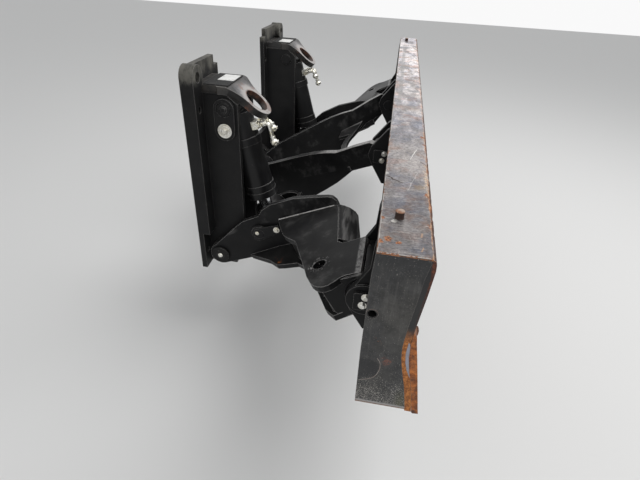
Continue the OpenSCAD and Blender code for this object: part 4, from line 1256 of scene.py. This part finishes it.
for hand, label in SIDES:
    form = bmesh.new()
    block = [(-BARREL - 0.016, PORT_Z - 0.014), (-BARREL - 0.016, PORT_Z + 0.014), (-BARREL + 0.006, PORT_Z + 0.014),
        (-BARREL + 0.006, PORT_Z - 0.014)]
    add_plate(form, block, -0.026, 0.026, on_cylinder, hand)
    here = on_cylinder((0, 0, 0), hand)
    axis_out, axis_down = on_cylinder((0, -1, 0), hand) - here, on_cylinder((0, 0, -1), hand) - here
    for x, low in PORTS:
        for steps, profile in UNION:
            add_turned(form, profile, on_cylinder((x, -BARREL - 0.022, PORT_Z), hand), axis_out, steps)
        bend = bow([(-BARREL - 0.042, PORT_Z), (-BARREL - 0.05, PORT_Z - 0.003), (-BARREL - 0.0545, PORT_Z - 0.012),
            (-BARREL - 0.0555, low + 0.012), (-BARREL - 0.056, low)], 5)
        add_tube(form, [on_cylinder((x, y, z), hand) for y, z in bend], 0.0066)
        add_turned(form, COLLAR, on_cylinder((x, -BARREL - 0.056, low + 0.02), hand), axis_down, 6)
        end = on_cylinder((x, -BARREL - 0.056, low), hand)
        add_turned(form, BALL, end, axis_out, 24)
        add_turned(form, CAP, end, axis_out, 6)
    keep("hose_fittings_%s" % label, form, fitting_zinc, "barrel_" + label, ("fittings_" + label,),
        bevel=0.0006, sharp=40)
print("hose fittings:", 4)

# %% [markdown]
# A weld is a row of small ripples along a corner. A second Geometry Nodes tree draws it: the path is cut
# into short steps, and the radius of a round profile swells and shrinks along it, with a little noise.

# %% A tree for weld beads
net, given, out = geometry_tree("weld bead", [("Width", 0.004), ("Ripple", 0.005), ("Seed", 3.0)])
cut = net.take("GeometryNodeResampleCurve", {"Curve": net.take("GeometryNodeMeshToCurve", {0: given["Geometry"]}),
    "Length": given["Ripple"] * 0.34}, mode="LENGTH")
distance = net.take("GeometryNodeSplineParameter", out="Length")
wave = net.math("SINE", net.math("DIVIDE", distance * 6.2832, given["Ripple"]))
unsteady = net.take("ShaderNodeTexNoise", {"Scale": 90.0, "W": given["Seed"]}, noise_dimensions="4D")
girth = (0.62 + wave * 0.1 + unsteady * 0.7) * (given["Width"] * 0.5)
profile = net.take("GeometryNodeCurvePrimitiveCircle", {"Resolution": 8, "Radius": 1.0}, "Curve")
bead = net.take("GeometryNodeCurveToMesh", {"Curve": cut, "Profile Curve": profile, "Fill Caps": True, "Scale": girth})
finished(net, bead, given, out)
weld_tree = net.tree


def welds(name, body, finish, paths, width=0.005, ripple=0.005):
    mesh = bpy.data.meshes.new(name + "_paths")
    points, edges = [], []
    for path in paths:
        edges += [(len(points) + k, len(points) + k + 1) for k in range(len(path) - 1)]
        points += [tuple(p) for p in path]
    mesh.from_pydata(points, edges, [])
    keep(name, grown(weld_tree, mesh, finish, width=width, ripple=ripple), finish, body, sharp=60)


# %% Weld beads
paths = []
for hand in (-1, 1):
    paths.append([upright((0.5155, -0.0465, z), hand) for z in (-0.19, 0.0, 0.329)])
    paths.append([upright((0.3445, -0.0205, z), hand) for z in (-0.348, 0.0, 0.329)])
    paths.append([upright((0.5155, -0.0205, z), hand) for z in (-0.348, -0.192)])
    paths.append([upright((0.5155, y, 0.3295), hand) for y in (-0.022, -0.127)])
    for x in (0.5155, 0.3445):
        paths.append([upright((x, y, z), hand) for y, z in arc(ROOT_Y, ROOT_Z, 0.0465, 0, 360, 24)])
    paths.append([upright((0.1805, y, z), hand) for y, z in ((-0.0205, -0.09), (-0.0205, -0.245))])
welds("welds_frame", "mount_frame", frame_paint, paths, 0.006, 0.006)

bead_line = bow([(0.0015, 0.3415), (0.01, 0.338), (0.026, 0.33), (0.036, 0.318), (0.0405, 0.304), (0.042, 0.29),
    (0.04, 0.276), (0.033, 0.265)], 4)
paths = [[(hand * END_X, BACK - d, TOP - h) for d, h in bead_line] for hand in (-1, 1)]
welds("welds_ends", "blade", weld_grey, paths, 0.0022, 0.004)
behind = [(y + SHEET + 0.0005, z) for y, z in front_curve]
paths = []
for hand in (-1, 1):
    for x in (0.8455, 0.8645, 1.0355, 1.0545):
        paths.append([(hand * x, y, z) for y, z in behind[3:27]])
    for x in (0.2815, 0.2985, 0.3655, 0.3825):
        paths.append([(hand * x, y, z) for y, z in behind[3:21]])
    paths.append([(hand * 1.2335, y, z) for y, z in behind[2:28]])
welds("welds_brackets", "blade", bracket_paint, paths, 0.006, 0.006)
for hand, label in SIDES:
    foot = [[on_arm((x, y, 0.0666), hand) for x, y in ((0.5722, -0.303), (0.5884, -0.418), (0.6044, -0.53))]]
    welds("welds_foot_%s" % label, "lower_arm_" + label, bare_weld, foot, 0.0062, 0.005)
    paths = [[on_arm((x, u, v), hand) for u, v in arc(-0.653, 0.0, 0.0505, 0, 360, 24)] for x in (0.8665, 1.0335)]
    welds("welds_arm_%s" % label, "lower_arm_" + label, arm_paint, paths, 0.006, 0.006)
print("weld beads on 7 pieces")

# %% [markdown]
# Each carried-over solid takes its finish by name. A solid that a finer piece replaces later is given
# one all the same, so nothing is left plain.

# %% Finishes on the solids
FINISH = ((label_finish, "label"), (pad_finish, "pad"), (lug_left_finish, "lug_left"), (lug_right_finish, "lug_right"),
    (zinc, "rod_pin blade_pin link_tip_pin low_pin link_pin fittings"), (rod_paint, "rod_"),
    (frame_paint, "head_pin tower flange mount_plate"), (rusty_edge, "cutting_edge"),
    (rusty_bolt, "edge_bolts top_studs"), (blade_paint, "blade_shell end_plate"),
    (bracket_paint, "low_bracket up_bracket"), (cylinder_paint, "barrel gland"), (arm_paint, "lower_arm upper_link"))
for name, solid in nodes.items():
    finish = next(f for f, starts in FINISH if name.startswith(tuple(starts.split())))
    solid.data.materials.clear()
    solid.data.materials.append(finish)
print("solids with a finish:", len(nodes))

# %% [markdown]
# The floor is plain and pale. Light comes from the whole sky evenly, with one large soft lamp overhead
# to give shape. To the camera the sky is white.

# %% Floor and light
def floor_material():
    net = surface("floor")
    return shine(net, (0.74, 0.735, 0.725), 0.9, 0.0)


bpy.ops.mesh.primitive_plane_add(size=24, location=(0, 0, GROUND - 0.0005))
floor = bpy.context.object
floor.name = "floor"
floor.data.materials.append(floor_material())

world = bpy.data.worlds.new("sky")
bpy.context.scene.world = world
world.use_nodes = True
net = Net(world.node_tree)
path = net.outlets(net.node("ShaderNodeLightPath"))
seen = path["Is Camera Ray"] | path["Is Glossy Ray"]
seen = seen | path["Is Transmission Ray"]
dim = net.take("ShaderNodeBackground", {"Color": (0.97, 0.985, 1.0), "Strength": 0.58})
white = net.take("ShaderNodeBackground", {"Color": (1.0, 1.0, 1.0), "Strength": 0.95})
net.node("ShaderNodeOutputWorld", {"Surface": net.take("ShaderNodeMixShader", {0: seen, 1: dim, 2: white})})


def soft_lamp(name, at, towards, size, power):
    lamp = bpy.data.lights.new(name, "AREA")
    lamp.shape, lamp.size, lamp.energy = "SQUARE", size, power
    shown = bpy.data.objects.new(name, lamp)
    bpy.context.scene.collection.objects.link(shown)
    shown.location = at
    shown.rotation_mode = "QUATERNION"
    shown.rotation_quaternion = (Vector(towards) - Vector(at)).to_track_quat("-Z", "Y")


soft_lamp("overhead", (0.3, -2.2, 3.4), (0, -0.5, 0), 3.0, 95)
soft_lamp("from the left", (-3.4, -1.6, 1.9), (0, -0.4, 0), 2.0, 14)
print("lamps:", 2)
